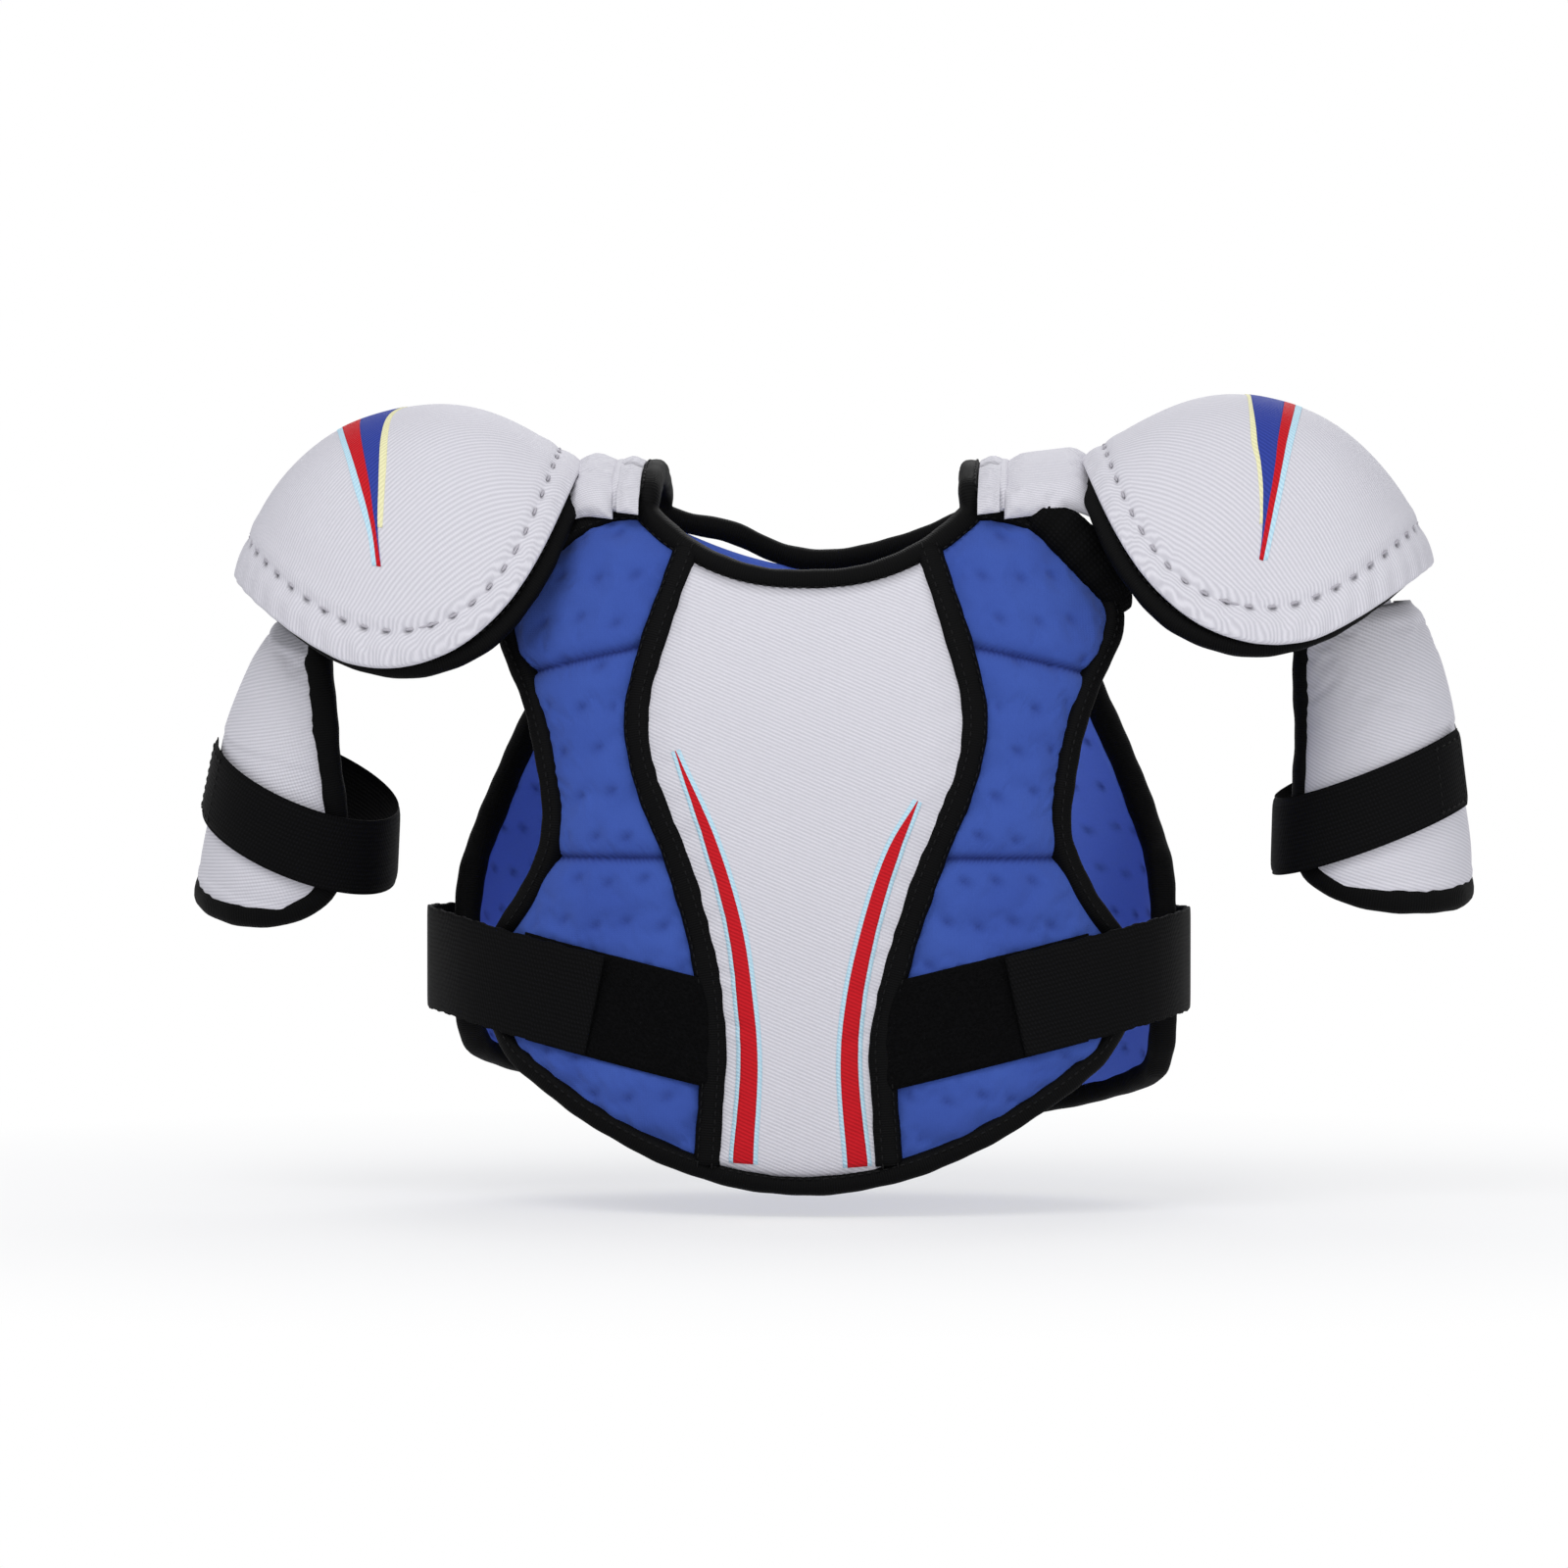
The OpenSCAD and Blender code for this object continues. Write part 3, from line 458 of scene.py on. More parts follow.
def on_front(flat, d):
    return torso(FRONT, angle_at(flat[..., 0], flat[..., 1]), flat[..., 1], d)


girth_angles = np.arange(0, 181, 1.0)
girth_line = torso(BACK, girth_angles, 150.0, EDGE_MID)
girth = travel(girth_line)


def arc_at(degrees):
    return np.sign(degrees) * np.interp(np.abs(degrees), girth_angles, girth)


def on_back(flat, d):
    arc, z = flat[..., 0], flat[..., 1]
    low = ramp(-z, -110.0, 60.0)
    z = z - low * (LOBE_DROP * ramp(arc, 40.0, 70.0) - LOBE_RISE * ramp(-arc, 40.0, 70.0))
    return torso(BACK, np.sign(arc) * np.interp(np.abs(arc), girth, girth_angles), z, d)


def hem_z(x):
    return HEM_RISE * (np.abs(x) / HEM_HALF) ** HEM_POWER


def neck_z(x):
    return NECK_HEIGHT + NECK_RISE * (np.abs(x) / NECK_HALF) ** 2.4


print("torso girth", round(float(girth[-1]), 1), "mm per side")

# %% [markdown]
# Outlines are smooth curves through a few measured points. A panel is a grid stretched between four of
# them, pulled in at the edges so that the binding can wrap around it.

# %% Outlines and panels
def spline(line, t):
    knots = np.asarray(line, float)
    count = len(knots) - 1
    s = np.clip(np.asarray(t, float), 0, 1) * count
    i = np.minimum(s.astype(int), count - 1)
    f = (s - i)[..., None]
    p1, p2 = knots[i], knots[i + 1]
    p0 = np.where((i > 0)[..., None], knots[np.maximum(i - 1, 0)], 2 * p1 - p2)
    far = knots[np.minimum(i + 2, count)]
    p3 = np.where((i + 2 <= count)[..., None], far, 2 * p2 - p1)
    bend = 2 * p0 - 5 * p1 + 4 * p2 - p3
    return 0.5 * (2 * p1 + (p2 - p0) * f + bend * f ** 2 + (3 * p1 - p0 - 3 * p2 + p3) * f ** 3)


def even(line, count):
    dense = spline(line, np.linspace(0, 1, 400))
    run = travel(dense)
    at = np.linspace(0, run[-1], count)
    return resample(dense, run, at)


def panel(left, right, bottom, top, columns, rows, inset):
    u = np.linspace(0, 1, columns)[None, :, None]
    v = np.linspace(0, 1, rows)[:, None, None]
    lines = [np.asarray(line, float) for line in (left, right, bottom, top)]
    l, r = lines[0][:, None, :], lines[1][:, None, :]
    b, t = lines[2][None, :, :], lines[3][None, :, :]
    corner = (1 - u) * (1 - v) * l[0] + u * (1 - v) * r[0] + (1 - u) * v * l[-1] + u * v * r[-1]
    grid = (1 - u) * l + u * r + (1 - v) * b + v * t - corner
    wide = np.linalg.norm(grid[:, -1] - grid[:, 0], axis=1)[:, None, None]
    tall = np.linalg.norm(grid[-1] - grid[0], axis=1)[None, :, None]
    su = np.clip(inset / wide, 0, 0.4)
    sv = np.clip(inset / tall, 0, 0.4)
    uu, vv = su + u * (1 - 2 * su), sv + v * (1 - 2 * sv)
    rows_at = np.clip(vv[..., 0] * (rows - 1), 0, rows - 1.001)
    cols_at = np.clip(uu[..., 0] * (columns - 1), 0, columns - 1.001)
    rows_at, cols_at = np.broadcast_arrays(rows_at, cols_at)
    i, j = rows_at.astype(int), cols_at.astype(int)
    fi, fj = (rows_at - i)[..., None], (cols_at - j)[..., None]
    low = grid[i, j] * (1 - fj) + grid[i, j + 1] * fj
    high = grid[i + 1, j] * (1 - fj) + grid[i + 1, j + 1] * fj
    return low * (1 - fi) + high * fi


def edge_gap(grid):
    rows, columns = grid.shape[:2]
    wide = np.linalg.norm(np.diff(grid, axis=1), axis=2)
    tall = np.linalg.norm(np.diff(grid, axis=0), axis=2)
    x = np.concatenate([np.zeros((rows, 1)), np.cumsum(wide, axis=1)], axis=1)
    y = np.concatenate([np.zeros((1, columns)), np.cumsum(tall, axis=0)], axis=0)
    return np.minimum(np.minimum(x, x[:, -1:] - x), np.minimum(y, y[-1:] - y))


def ripple(flat, size, seed=0.0):
    x, z = flat[..., 0] / size, flat[..., 1] / size
    first = np.sin(2.1 * x + 1.7 * np.sin(1.3 * z + seed) + seed)
    second = np.sin(1.9 * z + 1.5 * np.sin(1.6 * x - seed) + 2 * seed)
    return 0.5 * (first + second)


def tacks(flat, pitch, row_pitch, radius, seed=0.0):
    x, z = flat[..., 0], flat[..., 1]
    row = np.round(z / row_pitch)
    shift = np.where(np.mod(row, 2) > 0.5, 0.5, 0.0)
    column = np.round(x / pitch - shift)
    wob_x = 1.4 * np.sin(12.9 * row + 7.7 * column + seed)
    wob_z = 1.4 * np.sin(4.1 * row - 9.3 * column + 2 * seed)
    dx = x - (column + shift) * pitch - wob_x
    dz = z - row * row_pitch - wob_z
    long, short = 0.8 * dx - 0.6 * dz, 0.6 * dx + 0.8 * dz
    return np.exp(-(long / (1.25 * radius)) ** 2 - (short / (0.75 * radius)) ** 2)


print("outlines ready")

# %% [markdown]
# Two builders make nearly every mesh: `skin` closes two facing grids into a pad, a flat strap or a thin
# print, and `sweep` carries a profile along a line for tapes and rolls. Both write UVs in metres.

# %% Mesh builders
def quads(rows, columns, start=0, wrap=False):
    i = np.arange(rows - 1)[:, None]
    j = np.arange(columns if wrap else columns - 1)[None, :]
    k = (j + 1) % columns
    a, b = i * columns + j, i * columns + k
    return start + np.stack([a, b, b + columns, a + columns], axis=-1).reshape(-1, 4)


def write(name, verts, faces, uv, finish, shade_marks=None):
    mesh = bpy.data.meshes.new(name)
    mesh.from_pydata((verts * MM).tolist(), [], [list(map(int, f)) for f in faces])
    layer = mesh.uv_layers.new(name="flat")
    corner = np.zeros(len(mesh.loops), dtype=np.int32)
    mesh.loops.foreach_get("vertex_index", corner)
    layer.data.foreach_set("uv", (uv[corner] * MM).astype(np.float32).ravel())
    # The marks become the point attribute that the fabrics darken by: painted shade in dimples, creases,
    # grooves, bound edges and stitch holes.
    if shade_marks is not None:
        shade_spot = mesh.attributes.new("painted_shade", "FLOAT", "POINT")
        shade_spot.data.foreach_set("value", np.clip(shade_marks, 0, 1).astype(np.float32).ravel())
    shape = bmesh.new()
    shape.from_mesh(mesh)
    bmesh.ops.recalc_face_normals(shape, faces=shape.faces)
    shape.to_mesh(mesh)
    shape.free()
    mesh.shade_smooth()
    mesh.materials.append(finish.material)
    thing = bpy.data.objects.new(name, mesh)
    bpy.context.collection.objects.link(thing)
    return thing


def skin(name, outer, inner, uv, finish, shade_marks=None):
    rows, columns = outer.shape[:2]
    size = rows * columns
    index = np.arange(size).reshape(rows, columns)
    loop = np.concatenate([index[0], index[1:, -1], index[-1, -2::-1], index[-2:0:-1, 0]])
    after = np.roll(loop, -1)
    rim = np.stack([loop, loop + size, after + size, after], axis=1)
    faces = np.concatenate([quads(rows, columns), quads(rows, columns, size)[:, ::-1], rim])
    verts = np.concatenate([outer.reshape(-1, 3), inner.reshape(-1, 3)])
    flat = np.tile(uv.reshape(-1, 2), (2, 1))
    both = None if shade_marks is None else np.tile(shade_marks.reshape(-1), 2)
    return write(name, verts, faces, flat, finish, both)


def frames(line, up, closed=False):
    if closed:
        ahead = np.roll(line, -1, axis=0) - np.roll(line, 1, axis=0)
    else:
        ahead = np.gradient(line, axis=0)
    ahead = unit(ahead)
    side = unit(np.cross(ahead, up))
    return side, np.cross(side, ahead)


def sweep(name, line, up, profile, finish, closed=False, grow=None, shade_marks=None):
    side, lift = frames(line, up, closed)
    size = np.ones((len(line), 1, 1)) if grow is None else grow[:, None, None]
    ring = profile[None, :, :] * size
    grid = line[:, None, :] + side[:, None, :] * ring[..., :1] + lift[:, None, :] * ring[..., 1:]
    rows, columns = grid.shape[:2]
    uv = points(travel(profile)[None, :], travel(line)[:, None]).reshape(-1, 2)
    verts = grid.reshape(-1, 3)
    faces = quads(rows, columns, 0, True).tolist()
    if closed:
        last = (rows - 1) * columns
        for j in range(columns):
            k = (j + 1) % columns
            faces.append([last + j, last + k, k, j])
    else:
        faces.append(list(range(columns))[::-1])
        faces.append(list(range((rows - 1) * columns, rows * columns)))
    return write(name, verts, faces, uv, finish, None if shade_marks is None else np.repeat(shade_marks, columns))


def round_bar(width, height, power=3.0, count=20):
    q = np.linspace(0, TURN, count, endpoint=False)
    return points(0.5 * width * bulge(np.cos(q), power), 0.5 * height * bulge(np.sin(q), power))


print("builders ready")

# %% [markdown]
# Padding is cloth pushed out by the foam below it. `puff` lets the cloth solver find that shape: a sheet cut
# slightly too large is held at its edges, seams and tacks and blown up for twenty frames. The movement it
# finds is capped at a few millimetres and carried back to the fine grid.

# %% Cloth
LAST_FRAME = 20


def coarse_rows(count, step):
    return np.unique(np.append(np.arange(0, count, step), count - 1))


def refill(values, rows, columns, shape, wrap):
    if wrap:
        values = np.concatenate([values, values[:, :1]], axis=1)
        columns = np.append(columns, shape[1])
    tall = np.empty((shape[0], len(columns), 3))
    for j in range(len(columns)):
        for k in range(3):
            tall[:, j, k] = np.interp(np.arange(shape[0]), rows, values[:, j, k])
    wide = np.empty((shape[0], shape[1], 3))
    for i in range(shape[0]):
        for k in range(3):
            wide[i, :, k] = np.interp(np.arange(shape[1]), columns, tall[i, :, k])
    return wide


def solve(sheet, faces, hold, slack, pressure):
    mesh = bpy.data.meshes.new("sheet")
    mesh.from_pydata((sheet.reshape(-1, 3) * MM).tolist(), [], faces.tolist())
    thing = bpy.data.objects.new("sheet", mesh)
    bpy.context.collection.objects.link(thing)
    group = thing.vertex_groups.new(name="hold")
    level = np.round(np.clip(hold, 0, 1).ravel() * 10).astype(int)
    for step in range(1, 11):
        group.add(np.flatnonzero(level == step).tolist(), step / 10, "REPLACE")
    cloth = thing.modifiers.new("cloth", "CLOTH")
    cloth.settings.mass = 0.02
    cloth.settings.bending_stiffness = 5.0
    cloth.settings.shrink_min = -slack
    cloth.settings.use_pressure = True
    cloth.settings.uniform_pressure_force = pressure
    cloth.settings.vertex_group_mass = "hold"
    cloth.settings.effector_weights.gravity = 0.0
    cloth.collision_settings.use_collision = False
    cloth.point_cache.frame_end = LAST_FRAME
    for number in range(1, LAST_FRAME + 1):
        bpy.context.scene.frame_set(number)
    done = thing.evaluated_get(bpy.context.evaluated_depsgraph_get())
    found = np.array([v.co[:] for v in done.data.vertices]) / MM
    bpy.data.objects.remove(thing)
    bpy.data.meshes.remove(mesh)
    bpy.context.scene.frame_set(1)
    return found.reshape(sheet.shape) - sheet


def puff(outer, inner, hold, limit=2.0, slack=0.02, pressure=60.0, step=2, wrap=False):
    shape = outer.shape
    rows = coarse_rows(shape[0], step)
    columns = np.arange(0, shape[1], step) if wrap else coarse_rows(shape[1], step)
    for axis in (0, 1):
        hold = np.maximum(hold, np.roll(hold, -1, axis))
    sheet = outer[np.ix_(rows, columns)]
    faces = quads(len(rows), len(columns), 0, wrap)
    i, j = len(rows) // 2, len(columns) // 2
    facing = np.cross(sheet[i, j + 1] - sheet[i, j], sheet[i + 1, j] - sheet[i, j])
    if np.dot(facing, (outer - inner)[rows[i], columns[j]]) < 0:
        faces = faces[:, ::-1]
    moved = solve(sheet, faces, hold[np.ix_(rows, columns)], slack, pressure)
    far = np.linalg.norm(moved, axis=-1, keepdims=True)
    moved = moved * np.minimum(1, limit / np.maximum(far, 0.001))
    return outer + refill(moved, rows, columns, shape, wrap)


print("cloth ready")

# %% [markdown]
# One helper dresses each new piece: it hides the CAD node that the piece stands for
# and lets it ride on the body that moves it.

# %% Dressing
def dress(thing, body, nodes):
    if nodes:
        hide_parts(*nodes)
    if body:
        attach(thing, body)
    return thing


def mirror(grid, s):
    return grid * np.array([s, 1.0, 1.0])


def both_ways(place, flat, d, step=1.0):
    line = place(flat, d)
    return line, place(flat, d + step) - line


plates = ["sternum_plate", "spine_plate"]
plates += [f"{side}_{part}" for side, _ in SIDES for part in ("cap_shell", "guard_plate")]
for node in plates:
    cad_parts[node].data.materials.clear()
    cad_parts[node].data.materials.append(plastic.material)
print("plates finished:", len(plates))

# %% [markdown]
# The chest foams are cut into blocks by seams and held down by rows of tacks. The thickness is a sum:
# full in the middle, thin where the binding grips it, with a groove at each seam and a pit at each tack.

# %% Chest foams
armhole = [[104, 322], [128, 300], [143, 274], [129, 235], [121, 200], [119, 168], [130, 140], [147, 112],
           [148, 86], [137, 62]]
sternum_side = [[45, float(hem_z(45.0))], [43, 40], [42, 73], [47, 111], [60, 156], [70, 182],
                [77, 206], [78, 232], [70, 264], [56, float(neck_z(56.0))]]
slimmer = [[x - 6.0 * min(1.0, max(0.0, (135.0 - z) / 60.0)), z] for x, z in sternum_side]
sternum_edges = {"right": sternum_side, "left": slimmer}
shoulder_edge = [[56, float(neck_z(56.0))], [64, float(neck_z(64.0))], [78, 326], [86, 325], [104, 322]]


def hem_line(a, b, count):
    x = np.linspace(a, b, count)
    return points(x, hem_z(x))


def neck_line(a, b, count):
    x = np.linspace(a, b, count)
    return points(x, neck_z(x))


def pad_thickness(grid, full, thin, seams, tack):
    gap = edge_gap(grid)
    thick = full * (thin + (1 - thin) * fullness(gap, 11.0, 1.4))
    # The second value is painted shade: it darkens the colour in each tack dimple and seam crease.
    painted_shade = 0.34 * tack
    for seam in seams:
        crease = hump(seam, 1.5)
        thick = thick + 1.2 * hump(np.abs(seam) - 12.0, 8.0)
        thick = thick - 1.8 * hump(seam, 5.0) - 2.4 * crease
        painted_shade = np.maximum(painted_shade, 0.8 * crease)
    return thick - 1.5 * tack, painted_shade


for side, s in SIDES:
    sternum_line = even(sternum_edges[side], 170)
    grid = panel(sternum_line, even(armhole[::-1], 170), hem_line(sternum_line[0, 0], HEM_HALF, 64),
                 even(shoulder_edge, 64), 64, 170, 3.4)
    x, z = grid[..., 0], grid[..., 1]
    seams = (z - SEAM_Z, z - (262.0 - 0.24 * (x - 70.0)))
    tack = tacks(grid, TACK_PITCH, TACK_ROW, 2.5, s)
    tack = tack * ramp(edge_gap(grid), 6, 3)
    # The foam colour gets painted shade in its tack dimples and seam creases.
    thick, painted_shade = pad_thickness(grid, 9.0, 0.55, seams, tack)
    thick = thick + 0.55 * ripple(grid, 26.0, s) + 0.2 * ripple(grid, 9.0, 2 + s)
    strap_middle = STRAP_Z + STRAP_SLOPE * x
    below = 1 / (1 + np.exp((np.abs(z - strap_middle) - 27.0) / 1.6))
    thick = thick * (1 - below) + np.minimum(thick, 7.6) * below
    outer, inner = mirror(on_front(grid, FOAM_D + thick), s), mirror(on_front(grid, FOAM_D), s)
    held = [hump(edge_gap(grid), 3.0), tack, below] + [hump(seam, 2.5) for seam in seams]
    hold = np.maximum.reduce(held)
    foam = skin(f"{side}_chest_foam_skin", puff(outer, inner, hold), inner, grid, blue, painted_shade)
    dress(foam, "vest", [f"{side}_chest_foam"])
print("chest foams ready")

# %% [markdown]
# The sternum cover is a smooth knit panel with a slight crown. Its core lies below, around the plate.
# The liner closes the inside of the whole front, and its colour is painted darker in the dimples where the
# tacks come through, as painted shade.

# %% Sternum and front liner
left_line = even(sternum_edges["right"], 120) * FLIP
right_line = even(sternum_edges["left"], 120)
grid = panel(left_line, right_line, hem_line(-45, right_line[0, 0], 64), neck_line(-56, 56, 64), 64, 120, 3.4)
gap = edge_gap(grid)
crown = 2.2 * fullness(gap, 16.0, 1.5) - 1.6 * hump(gap, 3.0)
crown = crown + 0.35 * ripple(grid, 34.0, 1.0)
outer, inner = on_front(grid, COVER_TOP + crown), on_front(grid, COVER_D)
outer = puff(outer, inner, hump(gap, 4.0), 1.2, 0.008)
# The cover's colour is painted darker along its edges, where it meets the bindings, as painted shade.
cover = skin("sternum_cover_skin", outer, inner, grid, knit, 0.5 * hump(gap, 2.5))
step_out = on_front(grid, COVER_D + 1.0) - inner
sternum_level = COVER_D + np.sum((outer - inner) * step_out, axis=-1) / np.sum(step_out ** 2, axis=-1)
sternum_flat = grid
dress(cover, "vest", ["sternum_cover"])
coarse = panel(left_line[::6], right_line[::6], hem_line(-45, right_line[0, 0], 20), neck_line(-56, 56, 20),
               20, 20, 5.6)
core = skin("sternum_core", on_front(coarse, 7.4), on_front(coarse, FOAM_D), coarse, mesh_cloth)
dress(core, "vest", ["sternum_foam"])
top_half = np.concatenate([neck_line(0, 56, 30), even(shoulder_edge, 30)[1:]])
top_line = np.concatenate([top_half[:0:-1] * FLIP, top_half])
side_line = even(armhole[::-1], 150)
grid = panel(side_line * FLIP, side_line, hem_line(-HEM_HALF, HEM_HALF, len(top_line)), top_line,
             len(top_line), 150, 3.4)
# spots gives the liner its tack dimples and the painted shade in them.
spots = tacks(grid, TACK_PITCH, TACK_ROW, 2.2, 1.0)
inner = on_front(grid, 1.0 * spots)
liner = skin("front_liner_skin", on_front(grid, 2.2), inner, grid, lightened_lining, spots)
dress(liner, "vest", ["chest_liner"])
print("sternum ready")

# %% [markdown]
# The back is one wide foam panel that wraps to the sides, so its wings show beside the chest.
# It is drawn by its arc around the torso, and a second cover runs down the spine.

# %% Back panel
back_side = float(arc_at(76.0))
back_neck = float(arc_at(angle_at(NECK_HALF, SHOULDER_Z)))
back_shoulder = float(arc_at(angle_at(104.0, 322.0)))
wing = ((38, 293), (45, 262), (51, 232), (60, 201), (70, 172), (82, 145), (88, 116), (88, 92), (84, 71))
back_armhole = [[back_shoulder, 322]] + [[float(arc_at(a)), z] for a, z in wing] + [[back_side, 56]]


def back_hem(a, b, count):
    arc = np.linspace(a, b, count)
    return points(arc, 25.0 + 31.0 * (np.abs(arc) / back_side) ** HEM_POWER)


def back_neck_line(a, b, count):
    arc = np.linspace(a, b, count)
    raised = 6.0 * hump(arc + 48.0, 22.0)
    return points(arc, 302.0 + 24.0 * (np.abs(arc) / back_neck) ** 1.7 + raised)


shoulder_run = points(np.linspace(back_neck, back_shoulder, 14)[1:], np.linspace(SHOULDER_Z, 322, 14)[1:])
top_half = np.concatenate([back_neck_line(0, back_neck, 40), shoulder_run])
top_line = np.concatenate([top_half[:0:-1] * FLIP, top_half])
back_edge = even(back_armhole[::-1], 150)
grid = panel(back_edge * FLIP, back_edge, back_hem(-back_side, back_side, len(top_line)), top_line,
             len(top_line), 150, 3.6)
arc, z = grid[..., 0], grid[..., 1]
tack = tacks(grid, TACK_PITCH, TACK_ROW, 2.5, 3.0) * ramp(edge_gap(grid), 6, 3)
# The foam colour gets painted shade in its tack dimples and seam creases.
thick, painted_shade = pad_thickness(grid, 9.0, 0.55, (z - SEAM_Z, np.abs(arc) - 62.0), tack)
thick = np.where(np.abs(arc) < 48, np.minimum(thick, 5.2), thick + 0.5 * ripple(grid, 28.0, 2.0))
outer, inner = on_back(grid, FOAM_D + thick), on_back(grid, FOAM_D)
hold = np.maximum.reduce([hump(edge_gap(grid), 3.0), tack, hump(z - SEAM_Z, 2.5),
                          1.0 * (np.abs(arc) < 66)])
foam = skin("back_foam_skin", puff(outer, inner, hold), inner, grid, blue, painted_shade)
dress(foam, "vest", ["back_foam"])
# The back liner gets the same painted shade in its tack dimples.
spots = tacks(grid, TACK_PITCH, TACK_ROW, 2.2, 3.0)
liner = skin("back_liner_skin", on_back(grid, 2.2), on_back(grid, 1.0 * spots), grid, lightened_lining, spots)
dress(liner, "vest", ["back_liner"])
spine_side = [[30, 48], [33, 100], [42, 180], [46, 236], [38, 280]]
edge = even(spine_side, 90)
across_line = np.linspace(-1, 1, 40)
grid = panel(edge * FLIP, edge, points(30 * across_line, 48.0), points(38 * across_line, 280.0),
             40, 90, 0.5)
gap = edge_gap(grid)
crown = 2.4 * fullness(gap, 14.0, 1.5) - 1.5 * hump(gap - 6, 1.6)
# The colour is painted darker in the groove 6 mm inside the edge, as painted shade.
spine = skin("spine_cover_skin", on_back(grid, COVER_TOP + crown), on_back(grid, COVER_D), grid, knit,
             0.4 * hump(gap - 6, 1.4))
dress(spine, "vest", ["spine_cover"])
print("back ready")

# %% [markdown]
# A binding is a tape folded over an edge. Its line is evened out and smoothed first, then a soft-cornered
# profile runs along it. Each binding also notes where its seam runs, and the stitches are laid there later.

# %% Bindings
seam_rows = {}


def remember(body, thread, line):
    seam_rows.setdefault((body, thread), []).append(np.asarray(line, float))


def smooth_line(line, up, closed, pace=3.0, passes=3):
    if closed:
        line = np.concatenate([line, line[:1]])
        up = np.concatenate([up, up[:1]])
    run = travel(line)
    count = max(6, int(run[-1] / pace))
    at = np.linspace(0, run[-1], count + 1)
    if closed:
        at = at[:-1]
    line, up = resample(line, run, at), resample(up, run, at)
    for _ in range(passes):
        for values in (line, up):
            soft = 0.25 * np.roll(values, 1, axis=0) + 0.5 * values + 0.25 * np.roll(values, -1, axis=0)
            if closed:
                values[:] = soft
            else:
                values[1:-1] = soft[1:-1]
    return line, unit(up)


def bind(name, line, up, s, width, height, closed=False, seams=(1,), body="vest", turn=None,
         finish=tape_cloth, tuck=0.0):
    line, up = smooth_line(line, up, closed)
    if turn is not None:
        line, up = turn(line), turn(line + up) - turn(line)
    run = np.cumsum(np.linalg.norm(np.diff(line, axis=0, prepend=line[:1]), axis=1))
    grow = 1 + 0.03 * np.sin(run / 6.7) + 0.02 * np.sin(run / 2.6 + 1)
    grow = grow - tuck * (hump(run, 4.0) + hump(run[-1] - run, 4.0))
    side, lift = frames(line, up, closed)
    for seam in seams:
        row = line + side * (seam * 0.27 * width) + lift * (0.485 * height)
        remember(body, "black", mirror(row, s))
    return sweep(name, mirror(line, s), mirror(up, s), round_bar(width, height, 2.6), finish, closed, grow)


def front_edge(flat, d=EDGE_MID):
    return both_ways(on_front, np.asarray(flat, float), d)


def back_edge_line(flat, d=EDGE_MID):
    return both_ways(on_back, np.asarray(flat, float), d)


def round_trip(top_run, side_run, bottom):
    half = np.concatenate([top_run, side_run])
    return np.concatenate([half, bottom, half[::-1] * FLIP])


side_run = even(armhole, 90)[2:-2]
top_run = np.array([[79.0, 326.0], [86.0, 325.4], [93.0, 325.0]])
path = round_trip(top_run, side_run, hem_line(HEM_HALF, -HEM_HALF, 80))
edge = bind("front_binding_tape", *front_edge(path), 1, 11.0, 13.2)
dress(edge, "vest", ["front_binding"])
side_run = even(back_armhole, 90)[2:-2]
top_run = np.array([[back_neck + 1.0, 326.0], [0.2 * back_neck + 0.8 * back_shoulder, 325.0]])
path = round_trip(top_run, side_run, back_hem(back_side, -back_side, 90))
edge = bind("back_binding_tape", *back_edge_line(path), 1, 11.0, 13.2, seams=(-1,))
dress(edge, "vest", ["back_binding"])
for side, s in SIDES:
    path = even(sternum_edges[side], 120)[1:]
    path = path - points(1.8 * hump(path[:, 1] - 165.0, 60.0), 0.0)
    sink = 1.2 * ramp(path[:, 1], 276.0, 22.0)
    edge = bind(f"{side}_sternum_binding_tape", *front_edge(path, 7.6 - sink), s, 13.6, 10.6, seams=(-1, 1))
    dress(edge, "vest", [f"{side}_sternum_binding"])
print("edges bound")

# %% [markdown]
# The yokes are small arches that join front and back over the shoulders. Each has a black underside, a white
# padded cover and a piped outer edge. The neck binding runs around the front, over both arches and the back.

# %% Yokes and neck
YOKE_T, YOKE_END, YOKE_EDGE = 7.0, 12.8, 3.4
YOKE_REACH, TAB_REACH = 62.0, 52.0


def yoke_point(w, lean, d):
    a = np.radians(lean)
    depth = 50.0 - 0.2 * np.maximum(0, np.asarray(w) - 10.0)
    return points(NECK_HALF + w, (depth + d) * np.sin(a), 322.0 + (20.0 + d) * np.cos(a) + 0.12 * w)


